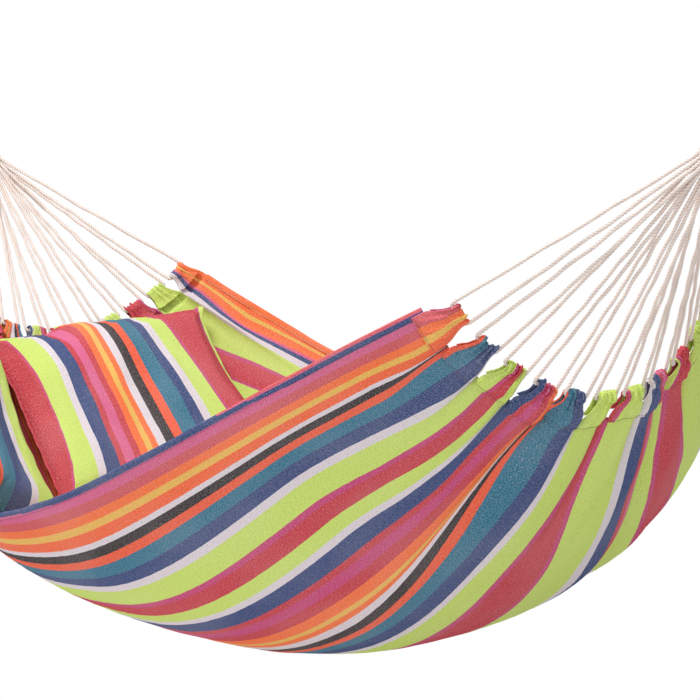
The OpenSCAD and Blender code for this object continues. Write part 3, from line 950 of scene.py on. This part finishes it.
def build_tab(side, i, tau_low, tau_high):
    """One tab as a joinable part, and its list of stitches."""
    centre = tab_lat(i)
    rng = np.random.RandomState(900 + i + (50 if side > 0 else 0))
    per_lon = np.linalg.norm(bed(side * 0.98, centre) - bed(side * 0.96, centre)) / 0.02
    per_lat = np.linalg.norm(bed(side * 0.975, centre + 0.01)
                             - bed(side * 0.975, centre - 0.01)) / 0.02
    base_end = 0.064 + rng.uniform(-0.005, 0.009)
    run, back_line, height, normal_b, normal_h = tab_profile(
        base_end, bend_radius=0.0062 + rng.uniform(0, 0.0012))
    outer_line = np.arange(TAB_ROWS) > np.argmin(back_line)
    wide = np.linspace(-1, 1, TAB_COLS)
    # columns of per-row values, spread over the width by broadcasting
    back, height, normal_b, normal_h, outer, depth = (
        v[:, None] for v in (back_line, height, normal_b, normal_h, outer_line, run))

    # full width at the base, narrow where the cord gathers it
    tip_width = 0.0400 + rng.uniform(-0.002, 0.003)
    base_share = ease(0.002, 0.046, back)
    width = tip_width + (TAB_BASE_WIDTH - tip_width) * base_share
    skew = rng.uniform(-0.0055, 0.0055) * (1 - base_share)
    # ragged mouth: the two side edges of the tab do not end alike
    ragged = 0.0045 * noise(wide * 1.4 + i * 5 + 2, np.sign(height - CORD_HEIGHT) * 0.4 + 3,
                            seed=44 + i) * (1 - ease(0.000, 0.020, back))

    # pleats: narrow valleys between broad ridges, gathered at the cord
    phase = rng.uniform(0, 2 * PI, 4)
    broad, narrow = rng.uniform(1.6, 2.6), rng.uniform(3.8, 5.2)
    lean = rng.uniform(-14, 14)
    wave = np.sin(PI * broad * wide + phase[0] + lean * back * 3)
    ridge = 0.75 * (1 - np.abs(wave)) ** 1.5 * 1.4 - 0.55
    ridge = ridge + 0.30 * np.sin(PI * narrow * wide + phase[1] - lean * back * 5)
    ridge += 0.55 * noise(wide * 3.1 + i * 3 + 4, depth * 55 + 2, seed=40 + i)
    ridge += 0.30 * noise(wide * 7.0 + i * 3 + 4, depth * 120 + 2, seed=60 + i)
    puff = (0.0010 + 0.0052 * np.exp(-np.maximum(back, 0) / 0.024)) * (ridge + 0.55)
    puff = np.where(back < 0.014, np.maximum(puff, -0.0002), puff)
    puff = np.where(outer, np.maximum(puff, -0.0012), np.clip(puff, -0.0006, 0.0024))
    # the crown of the tab is blown up a little between its seams
    before_base = 1 - ease(base_end - 0.020, base_end - 0.002, back)
    crown = 0.0066 * np.clip(1 - wide ** 2, 0, 1) * ease(0.004, 0.030, back)
    puff = puff + crown * before_base * outer
    edge_fade = ease(0, 0.004, (1 - np.abs(wide)) * width / 2)
    base_fade = 1 - ease(base_end - 0.010, base_end - 0.001, back) * outer
    puff = puff * (0.45 + 0.55 * edge_fade) * (0.25 + 0.75 * base_fade)

    lat = np.clip(centre + (wide * width / 2 + skew) / per_lat, -1.0, 1.0)
    lon_size = CORD_LON - (back + normal_b * puff - ragged) / per_lon
    lon = side * lon_size
    # follow the folds of the bed near the base, and let go at the cord
    bed_lon = side * np.minimum(lon_size, HEM_LON)
    follow = np.stack([fold_height(float(bed_lon[r].mean()), lat[r]) for r in range(TAB_ROWS)])
    follow = (follow + relief(bed_lon, lat)) * ease(0.004, 0.030, back)
    middle = at(lon, lat, height + normal_h * puff + follow)
    normals = normals_of(middle)
    verts, faces = slab(middle, normals, TAB_THICK)
    attrs = {
        "tau": np.tile(tau_low + (tau_high - tau_low) * (wide + 1) / 2, 2 * TAB_ROWS),
        "wu": np.tile(np.repeat(run, TAB_COLS), 2) + i * 0.1,
        "wv": np.tile((wide * width / 2).ravel(), 2) + i * 0.07}

    # base seam on the outer face
    row = int(np.argmin(np.abs(back_line - (base_end - SEAM_INSET)) + ~outer_line * 1.0))
    sign = np.sign(dot(normals[row], -up(lon[row], lat[row])).mean())
    line = middle[row] + normals[row] * sign * (TAB_THICK / 2 + 0.0002)
    return (verts, faces, attrs), tab_stitches(line, normals[row].mean(0) * sign)


def build_tabs(side):
    # each tab carries what the two folds beside it leave of the cloth
    cuts = [-1.0]
    for fold in FOLDS[side]:
        cuts += fold[4:]
    cuts.append(1.0)
    if side > 0:
        cuts[0] = -0.962                # the corner tab has its dark edge turned in
    parts, stitches = [], []
    for i in range(TABS):
        part, sewn = build_tab(side, i, *cuts[2 * i:2 * i + 2])
        parts.append(part)
        stitches += sewn
    verts, faces, attrs = join(parts)
    label = LABEL[side]
    ob = make(label + "_end_tabs", verts, faces, CLOTH, attrs)
    register(ob, "striped_cloth", "hammock", label + "_hem_tabs")
    verts, faces, _ = join(stitches)
    ob = make(label + "_tab_stitches", verts, faces, THREAD_SEAM)
    register(ob, "striped_cloth", "hammock")


build_tabs(-1)
build_tabs(1)

# ------------------------------------------------------------- cords
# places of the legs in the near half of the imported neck; the far half mirrors them
PACK_Y = [0.0174] * 4 + [0.0104] * 3 + [0.0035] * 4
PACK_DROP = [-0.0105, -0.0035, 0.0035, 0.0105, -0.007, 0.0, 0.007,
             -0.0105, -0.0035, 0.0035, 0.0105]
CORD_RADIUS = 0.0034
CORD_SIDES = 18
CORD_LAY = 0.0195                       # length of one twist
NECK_RUN = 0.038                        # cord length inside the neck
WIND_STEP = 0.0023                      # point spacing of cords and windings


def neck_point(side, out, y, drop):
    """Point at a distance out along the neck; drop is square to it, down and outwards."""
    x = CENTRE_X + side * HALF_SPAN + side * (out * NECK_COS + drop * NECK_SIN)
    z = GATHER_Z - DATUM_Z + out * NECK_SIN - drop * NECK_COS
    return np.stack(np.broadcast_arrays(x, y, z), -1)


def leg_place(side, leg, out):
    if leg < TABS:
        return neck_point(side, out, -PACK_Y[leg], PACK_DROP[leg])
    mirror = 2 * TABS - 1 - leg
    return neck_point(side, out, PACK_Y[mirror], PACK_DROP[mirror])


def rounded(points, cuts):
    """Polyline with quadratic bends at its inner corners."""
    path = [points[0]]
    share = np.linspace(0, 1, 13)[:, None]
    for k, cut in enumerate(cuts, 1):
        corner = points[k]
        start = corner + unit(points[k - 1] - corner) * cut
        end = corner + unit(points[k + 1] - corner) * cut
        path += list((1 - share) ** 2 * start + 2 * share * (1 - share) * corner
                     + share ** 2 * end)
    path.append(points[-1])
    return np.array(path)


def strand_radius(sides, twist, strands=3):
    """Outline of a laid cord of radius 1, turned by twist per ring, and its groove depth."""
    strand = 1 / 1.8
    orbit = 0.8 * strand
    pitch = 2 * PI / strands
    angle = (np.arange(sides)[None] / sides * 2 * PI - twist[:, None]) % pitch
    angle = np.minimum(angle, pitch - angle)
    inside = np.maximum(strand ** 2 - (orbit * np.sin(angle)) ** 2, 0)
    radius = orbit * np.cos(angle) + np.sqrt(inside)
    return radius, (1 - radius) / (1 - radius.min())


def build_cord(side, i):
    """One cord: out of the neck, through its tab and back."""
    rng = np.random.RandomState(300 + i + (70 if side > 0 else 0))
    bend = at(side * CORD_LON, tab_lat(i), CORD_HEIGHT)
    reach = across(side * 1.0, tab_lat(i)) * 0.0218
    mouths = bend - reach, bend + reach
    gathers = [leg_place(side, 2 * i + k, 0.0) for k in (0, 1)]
    tails = [leg_place(side, 2 * i + k, NECK_RUN) for k in (0, 1)]
    path = rounded([tails[0], gathers[0], mouths[0], bend, mouths[1], gathers[1], tails[1]],
                   cuts=[0.018, 0.0075, 0.006, 0.0075, 0.018])
    path = resample(path, WIND_STEP)
    dist = lengths(path)
    # slight wave and sag of each leg
    leg = np.linalg.norm(gathers[0] - mouths[0])
    for start, end in ((NECK_RUN, NECK_RUN + leg),
                       (dist[-1] - NECK_RUN - leg, dist[-1] - NECK_RUN)):
        share = np.clip((dist - start) / (end - start), 0, 1)
        swing = np.sin(PI * share) * ((dist > start) & (dist < end))
        sag = rng.uniform(0.0005, 0.0035)
        slow = rng.uniform(0.0006, 0.0015) * np.sin(
            2 * PI * dist / rng.uniform(0.09, 0.15) + rng.uniform(0, 6))
        fast = rng.uniform(0.0004, 0.0009) * np.sin(
            2 * PI * dist / rng.uniform(0.045, 0.07) + rng.uniform(0, 6))
        tangent = unit(np.gradient(path, axis=0))
        normal = unit(np.cross(tangent, [0, 1, 0]))
        path = (path + normal * (swing * slow)[:, None]
                + np.cross(tangent, normal) * (swing * fast)[:, None]
                + np.array([0, 0, -1.0]) * (swing * sag)[:, None])
    dist = lengths(path)
    radius = CORD_RADIUS * (1 + 0.03 * np.sin(dist * 70 + rng.uniform(0, 6))
                            + 0.02 * np.sin(dist * 190 + rng.uniform(0, 6)))
    outline, groove = strand_radius(CORD_SIDES, 2 * PI * dist / CORD_LAY + rng.uniform(0, 6))
    outline = 1 - 0.8 * (1 - outline)
    verts, faces = tube(path, outline * radius[:, None], CORD_SIDES)
    name = "%s_cord_%02d" % (LABEL[side], i + 1)
    ob = make("twisted_" + name, verts, faces, CORD,
              {"groove": np.concatenate([groove.ravel(), [1, 1]])})
    register(ob, "cord_cotton", "hammock", name)


for end_side in (-1, 1):
    for tab in range(TABS):
        build_cord(end_side, tab)

# ------------------------------------------- whippings, loops and rings
WHIP_START = 0.0055                     # along the neck
WHIP_WIRE = 0.00128                     # twine radius
WHIP_PITCH = 0.00256
WHIP_TURNS = int(round(0.0565 / WHIP_PITCH))
CLOSING_TURNS = 5
TURN_POINTS = 66
WHIP_HALF_Y, WHIP_HALF_DROP = 0.02685, 0.01870
CORE_ROWS, CORE_POINTS = 10, 96
CORE_START = 0.050
LOOP_HALF = 0.016                       # half width of the hanging loop
LOOP_START, LOOP_REACH = 0.041, 0.092   # ends of its straight legs along the neck
LOOP_SIDES = 28
RING_RADIUS, RING_WIRE = 0.029, 0.004
RING_POINTS, RING_SIDES = 160, 32
BEAD_ANGLE = 0.35


def stadium(half_y, half_drop, count):
    """Outline of a round-ended slot as count (y, drop) points at equal steps."""
    straight = half_y - half_drop
    points = []
    for sign, first in ((1, -PI / 2), (-1, PI / 2)):
        for angle in np.linspace(first, first + PI, 40):
            points.append((sign * straight + half_drop * math.cos(angle),
                           half_drop * math.sin(angle)))
    points.append(points[0])
    return resample(points, lengths(points)[-1] / count)[:-1]


def whip_turns(side):
    """Main winding of twine round the neck."""
    k = np.arange(WHIP_TURNS * TURN_POINTS + 1)
    y, drop = stadium(WHIP_HALF_Y, WHIP_HALF_DROP, TURN_POINTS)[k % TURN_POINTS].T
    turn = k / TURN_POINTS
    loose = 1 + 0.006 * np.sin(turn * 2.1) + 0.004 * np.sin(turn * 5.3)
    path = neck_point(side, WHIP_START + WHIP_PITCH * turn, y * loose, drop * loose)
    path = resample(path, WIND_STEP)
    outline, groove = strand_radius(8, 2 * PI * lengths(path) / 0.006, strands=2)
    verts, faces = tube(path, (0.93 + 0.07 * outline) * WHIP_WIRE, sides=8)
    return verts, faces, {"groove": np.concatenate([0.55 * groove.ravel(), [1, 1]])}


def closing_turns(side):
    """Turns at the outer end that shrink towards the legs of the loop."""
    k = np.arange(CLOSING_TURNS * TURN_POINTS + 1)
    y, drop = stadium(WHIP_HALF_Y, WHIP_HALF_DROP, TURN_POINTS)[k % TURN_POINTS].T
    share = k / (CLOSING_TURNS * TURN_POINTS)
    shrink = 0.0135 * share
    out = WHIP_START + WHIP_PITCH * WHIP_TURNS + 0.0042 * np.sin(share * PI / 2)
    path = neck_point(side, out, y * (WHIP_HALF_Y - shrink) / WHIP_HALF_Y,
                      drop * (WHIP_HALF_DROP - shrink) / WHIP_HALF_DROP)
    verts, faces = tube(resample(path, WIND_STEP), WHIP_WIRE, sides=8)
    return verts, faces, {"groove": np.full(len(verts), 0.25)}


def neck_core(side):
    """Bundle of strand ends that fills the neck between the legs."""
    y, drop = stadium(0.0252, 0.0170, CORE_POINTS).T
    ripple = 1 + 0.05 * np.sin(np.arange(CORE_POINTS) * 2 * PI / CORE_POINTS * 17)
    share = np.linspace(0, 1, CORE_ROWS)[:, None]
    scale = np.cos(share * PI / 2 * 0.98) * ripple
    out = CORE_START + 0.0145 * np.sin(share * PI / 2)
    verts = neck_point(side, out, y * scale, drop * scale).reshape(-1, 3)
    index = np.arange(len(verts)).reshape(CORE_ROWS, CORE_POINTS)
    hub = len(verts)
    verts = np.concatenate([verts, [neck_point(side, CORE_START, 0, 0),
                                    neck_point(side, 0.0646, 0, 0)]])
    faces = np.concatenate([ring_quads(index), fan(hub, index[0], flip=True),
                            fan(hub + 1, index[-1])])
    return verts, outward(verts, faces), {"groove": np.full(len(verts), 0.7)}


def build_whipping(side):
    label = LABEL[side]
    verts, faces, attrs = join([whip_turns(side), closing_turns(side), neck_core(side)])
    ob = make(label + "_neck_whipping", verts, faces, WHIP, attrs)
    register(ob, "whipping_cord", "hammock", label + "_whipping")


def build_loop(side):
    """Hanging loop: rope served with twine."""
    label = LABEL[side]
    angle = np.linspace(0, PI, 60)
    out = np.concatenate([[LOOP_START], LOOP_REACH + LOOP_HALF * np.sin(angle), [LOOP_START]])
    y = np.concatenate([[LOOP_HALF], LOOP_HALF * np.cos(angle), [-LOOP_HALF]])
    path = resample(neck_point(side, out, y, 0.0), 0.00042)
    dist = lengths(path)
    wrap = np.abs(np.sin(PI * dist / 0.0021)) ** 0.6
    around = np.arange(LOOP_SIDES) / LOOP_SIDES * 2 * PI
    fibre = 0.00005 * np.sin(around[None] * 9 + dist[:, None] * 4000)
    verts, faces = tube(path, (0.0064 + 0.00058 * wrap)[:, None] + fibre, LOOP_SIDES)
    groove = np.concatenate([np.repeat(1 - wrap, LOOP_SIDES), [1, 1]]) * 0.9
    ob = make(label + "_served_loop", verts, faces, SERVED, {"groove": groove})
    register(ob, "served_rope", "hammock", label + "_hanging_loop")


def build_ring(side):
    """Round wire ring with the bead of its weld."""
    label = LABEL[side]
    angle = np.arange(RING_POINTS) / RING_POINTS * 2 * PI
    outwards = np.array([side * NECK_COS, 0, NECK_SIN])
    down = np.array([side * NECK_SIN, 0, -NECK_COS])
    path = RING_CENTRE[side][None] + RING_RADIUS * (
        np.cos(angle)[:, None] * outwards + np.sin(angle)[:, None] * down)
    off = ((angle - BEAD_ANGLE + PI) % (2 * PI) - PI) * RING_RADIUS
    bead = np.exp(-(off / 0.0016) ** 2)
    necking = np.exp(-((np.abs(off) - 0.0032) / 0.0010) ** 2)
    radius = RING_WIRE + 0.00042 * bead - 0.00012 * necking
    around = np.arange(RING_SIDES) / RING_SIDES * 2 * PI
    lumps = 0.00012 * np.sin(around * 5 + 1)[None] * bead[:, None]
    verts, faces = tube(path, radius[:, None] + lumps, RING_SIDES, closed=True)
    ob = make(label + "_hanging_ring", verts, faces, STEEL)
    register(ob, "galvanised_steel", label + "_ring", label + "_ring")


for end_side in (-1, 1):
    build_whipping(end_side)
    build_loop(end_side)
    build_ring(end_side)

# ------------------------------------------------------------- pillows
# foot_pos runs -1..1 from the head to the foot edge, far_pos -1..1 from the near to the far.
SEAM_HEIGHT, CROWN_HEIGHT = 0.050, 0.058
BOTTOM_CLEAR = 0.0115                   # underside over the bed surface
PILLOW_ROWS, PILLOW_COLS = 61, 81
MAX_MOVE = 0.010                        # limit on what the simulation may move
CLOTH_SETTINGS = dict(
    quality=5, mass=0.25, tension_stiffness=22, compression_stiffness=12, shear_stiffness=6,
    bending_stiffness=0.35, use_pressure=True, uniform_pressure_force=3.2, shrink_min=-0.035)
SIM_FRAMES = 16
# half section of the flat seam: fixed offset, share of the seam width, height
SEAM_PROFILE = [(-0.0030, 0, 0.0011), (0.0006, 0, 0.0012), (0, 0.55, 0.00105), (0, 1, 0.0006)]
SEAM_PROFILE += [(fixed, share, -height) for fixed, share, height in SEAM_PROFILE[::-1]]


def pillow_place(shape, foot_pos, far_pos):
    """lon and lat of a place on a pillow."""
    pinch = np.where(far_pos < 0, shape["near_pinch"], shape["far_pinch"])
    x = foot_pos * (1 - 0.10 * (1 - far_pos * far_pos) * np.abs(foot_pos) ** 3)
    y = far_pos * (1 - pinch * (1 - foot_pos * foot_pos) * np.abs(far_pos) ** 3)
    ear = shape["ear"] * np.clip(-foot_pos, 0, 1) ** 5 * np.clip(-far_pos, 0, 1) ** 5
    x, y = x * (1 - ear), y * (1 - ear)
    head = shape["head"] + shape["head_curve"] * y * y
    lon = head + (shape["foot"] - head) * (x + 1) / 2
    return lon, (shape["shift"] + y * shape["width"] / 2) / half_width(lon)


def seam_height(shape, foot_pos, far_pos):
    bridge = shape["bridge"] * (1 - far_pos * far_pos) * (1 - foot_pos) / 2
    slump = shape["slump"] * ease(-0.26, -0.44, far_pos) * ease(-0.35, -0.95, foot_pos)
    return SEAM_HEIGHT + bridge - slump


def fullness(foot_pos, far_pos):
    return np.sqrt(np.clip((1 - foot_pos ** 4) * (1 - far_pos ** 4), 0, None))


def surface_coords(points, lon, lat):
    """(lon, lat, height) of points near the bed, by Newton steps from a first guess."""
    height = np.zeros_like(lon)
    eps = 1e-4
    for _ in range(12):
        miss = points - at(lon, lat, height)
        by_lon = (at(lon + eps, lat, height) - at(lon - eps, lat, height)) / (2 * eps)
        by_lat = (at(lon, lat + eps, height) - at(lon, lat - eps, height)) / (2 * eps)
        jacobian = np.stack([by_lon, by_lat, up(lon, lat)], -1)
        move = np.linalg.solve(jacobian, miss[..., None])[..., 0]
        lon = np.clip(lon + np.clip(move[:, 0], -0.05, 0.05), -0.999, 0.999)
        lat = np.clip(lat + np.clip(move[:, 1], -0.05, 0.05), -1.75, 1.75)
        height = height + move[:, 2]
    return lon, lat, height


def seam_spaced(count):
    """Stations -1..1, closer together at the seams."""
    x = np.linspace(-1, 1, count)
    return np.sign(x) * (1 - (1 - np.abs(x)) ** 1.25)


def start_pillow(name, shape):
    """Cover before its filling: a top and an underside that share their seam vertices."""
    foot_pos, far_pos = np.meshgrid(seam_spaced(PILLOW_ROWS), seam_spaced(PILLOW_COLS),
                                    indexing="ij")
    lon, lat = pillow_place(shape, foot_pos, far_pos)
    full = fullness(foot_pos, far_pos)
    seam = seam_height(shape, foot_pos, far_pos)
    top = at(lon, lat, seam + CROWN_HEIGHT * shape["full"] * full)
    bottom = at(lon, lat, seam - (seam - BOTTOM_CLEAR) * 0.92 * full)
    index = np.arange(foot_pos.size).reshape(foot_pos.shape)
    inner = np.zeros(foot_pos.shape, bool)
    inner[1:-1, 1:-1] = True
    under = index.copy()
    under[inner] = index.size + np.arange(inner.sum())
    verts = np.concatenate([top.reshape(-1, 3), bottom[inner]])
    faces = np.concatenate([grid_quads(index), grid_quads(under)[:, [0, 3, 2, 1]]])
    ob = make(name + "_cover", verts, outward(verts, faces), CLOTH)
    places = np.stack([foot_pos, far_pos], -1)
    return dict(name=name, shape=shape, ob=ob, rest=verts, index=index,
                places=np.concatenate([places.reshape(-1, 2), places[inner]]),
                is_top=np.arange(len(verts)) < index.size)


def inflate(pillows):
    """Cloth simulation of the covers together, blown up by pressure."""
    modifiers = []
    for pillow in pillows:
        modifier = pillow["ob"].modifiers.new("inflate", "CLOTH")
        for key, value in CLOTH_SETTINGS.items():
            setattr(modifier.settings, key, value)
        modifier.settings.effector_weights.gravity = 0
        modifier.collision_settings.use_collision = False
        modifiers.append(modifier)
    scene = bpy.context.scene
    for number in range(1, SIM_FRAMES + 1):
        scene.frame_set(number)
    graph = bpy.context.evaluated_depsgraph_get()
    for pillow in pillows:
        coords = np.zeros(len(pillow["rest"]) * 3, np.float32)
        pillow["ob"].evaluated_get(graph).data.vertices.foreach_get("co", coords)
        pillow["blown"] = coords.reshape(-1, 3).astype(float)
    for pillow, modifier in zip(pillows, modifiers):
        pillow["ob"].modifiers.remove(modifier)
    scene.frame_set(1)


def build_seam(pillow, verts, lon, lat, tau, half_x, half_y, seed):
    """Flat double edge that stands out all round the cover."""
    index = pillow["index"]
    loop = np.concatenate([index[0, :], index[1:, -1], index[-1, -2::-1], index[-2:0:-1, 0]])
    points = verts[loop]
    lift = up(lon[loop], lat[loop])
    tangent = unit(np.roll(points, -1, 0) - np.roll(points, 1, 0))
    outside = unit(np.cross(tangent, lift))
    outside = outside * np.sign(dot(outside, points - verts.mean(0))).mean()
    run = lengths(points)
    wave = 0.0013 * noise(run / 0.028, 0, seed + 8) + 0.0008 * np.sin(run / 0.009)
    # the corners of the cover stand out as small points
    foot_pos, far_pos = pillow["places"][loop].T
    to_corner = np.hypot((1 - np.abs(foot_pos)) * half_x, (1 - np.abs(far_pos)) * half_y)
    width = 0.0050 + 0.0006 * noise(run / 0.02, 1, seed + 9) + 0.006 * np.exp(-to_corner / 0.006)
    lines = []
    for fixed, share, height in SEAM_PROFILE:
        off = fixed + share * width
        rise = height + wave * np.clip(off / 0.005, 0, 1)
        lines.append(points + outside * off[:, None] + lift * rise[:, None])
    ring = len(lines)
    seam_verts = np.stack(lines, 1).reshape(-1, 3)
    faces = ring_quads(np.arange(len(seam_verts)).reshape(-1, ring), closed=True)
    seam_tau = np.where(far_pos > 0.995, pillow["shape"]["edge_tau"], tau[loop])
    ob = make(pillow["name"] + "_seam_edge", seam_verts, outward(seam_verts, faces), CLOTH, {
        "tau": np.repeat(seam_tau, ring),
        "wu": np.repeat(run, ring),
        "wv": np.tile(np.linspace(0, 0.01, ring), len(loop))})
    register(ob, "striped_cloth", pillow["name"])


def finish_pillow(pillow, seed):
    """Puckers, creases, stripes and seam of a cover."""
    name, shape, ob, is_top = (pillow[key] for key in ("name", "shape", "ob", "is_top"))
    verts = pillow["rest"]
    if "blown" in pillow:
        move = pillow["blown"] - verts
        size = np.linalg.norm(move, axis=1, keepdims=True)
        verts = verts + move * (MAX_MOVE * np.tanh(size / MAX_MOVE) / np.maximum(size, 1e-9))
    half_x = (shape["foot"] - shape["head"]) * 0.52
    half_y = shape["width"] / 2
    foot_pos, far_pos = pillow["places"].T
    lon, lat, height = surface_coords(verts, *pillow_place(shape, foot_pos, far_pos))
    edge_x = (1 - np.abs(foot_pos)) * half_x
    edge_y = (1 - np.abs(far_pos)) * half_y
    x = foot_pos * half_x
    y = far_pos * half_y
    # puckers along the four seams
    pucker = 0
    for edge, pos, which, offset, layer in ((edge_x, y, foot_pos, 5, 1),
                                            (edge_y, x, far_pos, 9, 2)):
        near_edge = np.exp(-edge / 0.024) * ease(0.0, 0.006, edge + 0.002)
        ripple = noise(pos / 0.017 + 20, np.sign(which) * 2 + offset, seed + layer)
        pucker = pucker + 0.0034 * near_edge * ripple
    # soft dents of the top, from broad to fine
    soft = (0.0050 * noise(x / 0.12 + 3, y / 0.10 + 3, seed + 3)
            + 0.0022 * noise(x / 0.06 + 3, y / 0.035 + 3, seed + 4)
            + 0.0010 * noise(x / 0.03 + 3, y / 0.016 + 3, seed + 5))
    corner = np.exp(-np.hypot(edge_x, edge_y) / 0.05)
    crease = 0.0035 * corner * np.sin((edge_x - edge_y) / 0.011)
    height = height + (pucker + crease * 0.6) * np.where(is_top, 1.0, -0.6)
    height = height + np.where(is_top, soft * fullness(foot_pos, far_pos), 0)
    verts = at(lon, lat, np.maximum(height, 0.0058))
    ob.data.vertices.foreach_set("co", verts.astype(np.float32).ravel())
    # the blown-up middle carries the stripes of the near half a little inwards
    lean = shape["lean"] * (1 - foot_pos ** 2) * np.clip(1 - far_pos, 0, 1.9) / 2
    tau = np.interp(far_pos - lean * ease(-1.0, -0.86, far_pos), *zip(*shape["stripes"]))
    set_floats(ob.data, {"tau": tau, "wu": x, "wv": y})
    subdivision = ob.modifiers.new("smooth", "SUBSURF")
    subdivision.levels = subdivision.render_levels = 1
    ob.data.update()
    register(ob, "striped_cloth", name,
             name + "_front_panel", name + "_back_panel", name + "_filling")
    build_seam(pillow, verts, lon, lat, tau, half_x, half_y, seed)


PILLOWS = [start_pillow("far_pillow", FAR), start_pillow("near_pillow", NEAR)]
inflate(PILLOWS)
finish_pillow(PILLOWS[0], seed=80)
finish_pillow(PILLOWS[1], seed=180)

# ------------------------------------------------- stage, light, camera
BOX_CENTRE = (np.array(CAD_BOX[0]) + np.array(CAD_BOX[1])) / 2
FLOOR_DROP = 0.45                       # floor below the lowest point
FLOOR_RADIUS = 70
CAMERA_HEADING = math.radians(56.451)   # from -y towards +x
CAMERA_RISE = math.radians(3.267)
CAMERA_ROLL = math.radians(-1.37)
CAMERA_DISTANCE = 6.581
CAMERA_TARGET = np.array([CENTRE_X, 0.0, 0.3 - DATUM_Z])
SENSOR_MM, LENS_MM = 36, 179.495743
SHIFT_X, SHIFT_Y = 0.07217286, -0.04906857


def floor_material():
    mat = Shader("pale_floor")
    coords = mat.coords()
    patch = mat.step(mat.noise(coords, scale=1.4, detail=3.0), (0.3, 0.7))
    mat.surface({
        "Base Color": mat.mix(patch, linear((243, 243, 243)), linear((248, 248, 248))),
        "Roughness": 0.9,
        "Specular IOR Level": 0.1,
    })
    # far from the hammock the floor runs into the white of the studio:
    # strength 1 to the camera, 0.72 as light
    light_path = mat.node("LightPath")
    glow = mat.node("Emission")
    seen = mat.math("MULTIPLY", light_path.outputs["Is Camera Ray"], 0.28)
    mat.put(glow.inputs["Strength"], mat.math("ADD", seen, 0.72))
    distance = mat.node("VectorMath")
    distance.operation = "LENGTH"
    mat.link(coords, distance.inputs[0])
    blend = mat.node("MixShader")
    mat.link(mat.step(distance.outputs["Value"], (1.1, 1.95)), blend.inputs[0])
    mat.link(mat.bsdf.outputs["BSDF"], blend.inputs[1])
    mat.link(glow.outputs[0], blend.inputs[2])
    mat.link(blend.outputs[0], mat.out.inputs["Surface"])
    return mat.mat


def build_floor():
    mat = floor_material()
    bpy.ops.mesh.primitive_circle_add(
        vertices=96, radius=FLOOR_RADIUS, fill_type="NGON",
        location=(float(BOX_CENTRE[0]), 0, float(CAD_BOX[0][2]) - FLOOR_DROP))
    floor = bpy.context.object
    floor.name = "studio_floor"
    floor.data.materials.append(mat)


def build_world():
    """White studio: strength 1 to the camera, 0.62 as light."""
    world = bpy.data.worlds.new("studio")
    bpy.context.scene.world = world
    world.use_nodes = True
    tree = world.node_tree
    background = tree.nodes["Background"]
    background.inputs["Color"].default_value = (1, 1, 1, 1)
    light_path = tree.nodes.new("ShaderNodeLightPath")
    strength = tree.nodes.new("ShaderNodeMath")
    strength.operation = "MULTIPLY_ADD"
    strength.inputs[1].default_value = 0.38
    strength.inputs[2].default_value = 0.62
    tree.links.new(light_path.outputs["Is Camera Ray"], strength.inputs[0])
    tree.links.new(strength.outputs[0], background.inputs["Strength"])


def area_light(name, offset, size, power):
    """Square light at an offset from the hammock's box centre in x and z, aimed at it."""
    data = bpy.data.lights.new(name, "AREA")
    data.shape = "SQUARE"
    data.size = size
    data.energy = power
    ob = bpy.data.objects.new(name, data)
    bpy.context.scene.collection.objects.link(ob)
    place = np.array([BOX_CENTRE[0] + offset[0], offset[1], BOX_CENTRE[2] + offset[2]])
    ob.location = place
    ob.rotation_mode = "QUATERNION"
    ob.rotation_quaternion = Vector(BOX_CENTRE - place).to_track_quat("-Z", "Y")


def build_camera():
    data = bpy.data.cameras.new("camera")
    camera = bpy.data.objects.new("camera", data)
    bpy.context.scene.collection.objects.link(camera)
    back = np.array([math.sin(CAMERA_HEADING) * math.cos(CAMERA_RISE),
                     -math.cos(CAMERA_HEADING) * math.cos(CAMERA_RISE),
                     math.sin(CAMERA_RISE)])
    level = np.array([math.cos(CAMERA_HEADING), math.sin(CAMERA_HEADING), 0.0])
    upright = np.cross(back, level)
    right = math.cos(CAMERA_ROLL) * level + math.sin(CAMERA_ROLL) * upright
    top = -math.sin(CAMERA_ROLL) * level + math.cos(CAMERA_ROLL) * upright
    place = CAMERA_TARGET + back * CAMERA_DISTANCE
    rows = [tuple(row) for row in np.stack([right, top, back, place], -1)]
    camera.matrix_world = Matrix(rows + [(0, 0, 0, 1)])
    data.sensor_width = SENSOR_MM
    data.lens = LENS_MM
    data.shift_x = SHIFT_X
    data.shift_y = SHIFT_Y
    data.clip_start = 0.1
    data.clip_end = 300
    bpy.context.scene.camera = camera


build_floor()
build_world()
area_light("key", offset=(0.1, -2.0, 3.9), size=1.7, power=136)
area_light("fill", offset=(2.6, -3.2, 0.4), size=2.4, power=20)
build_camera()
bpy.context.scene.view_settings.view_transform = "Standard"

bpy.context.view_layer.update()
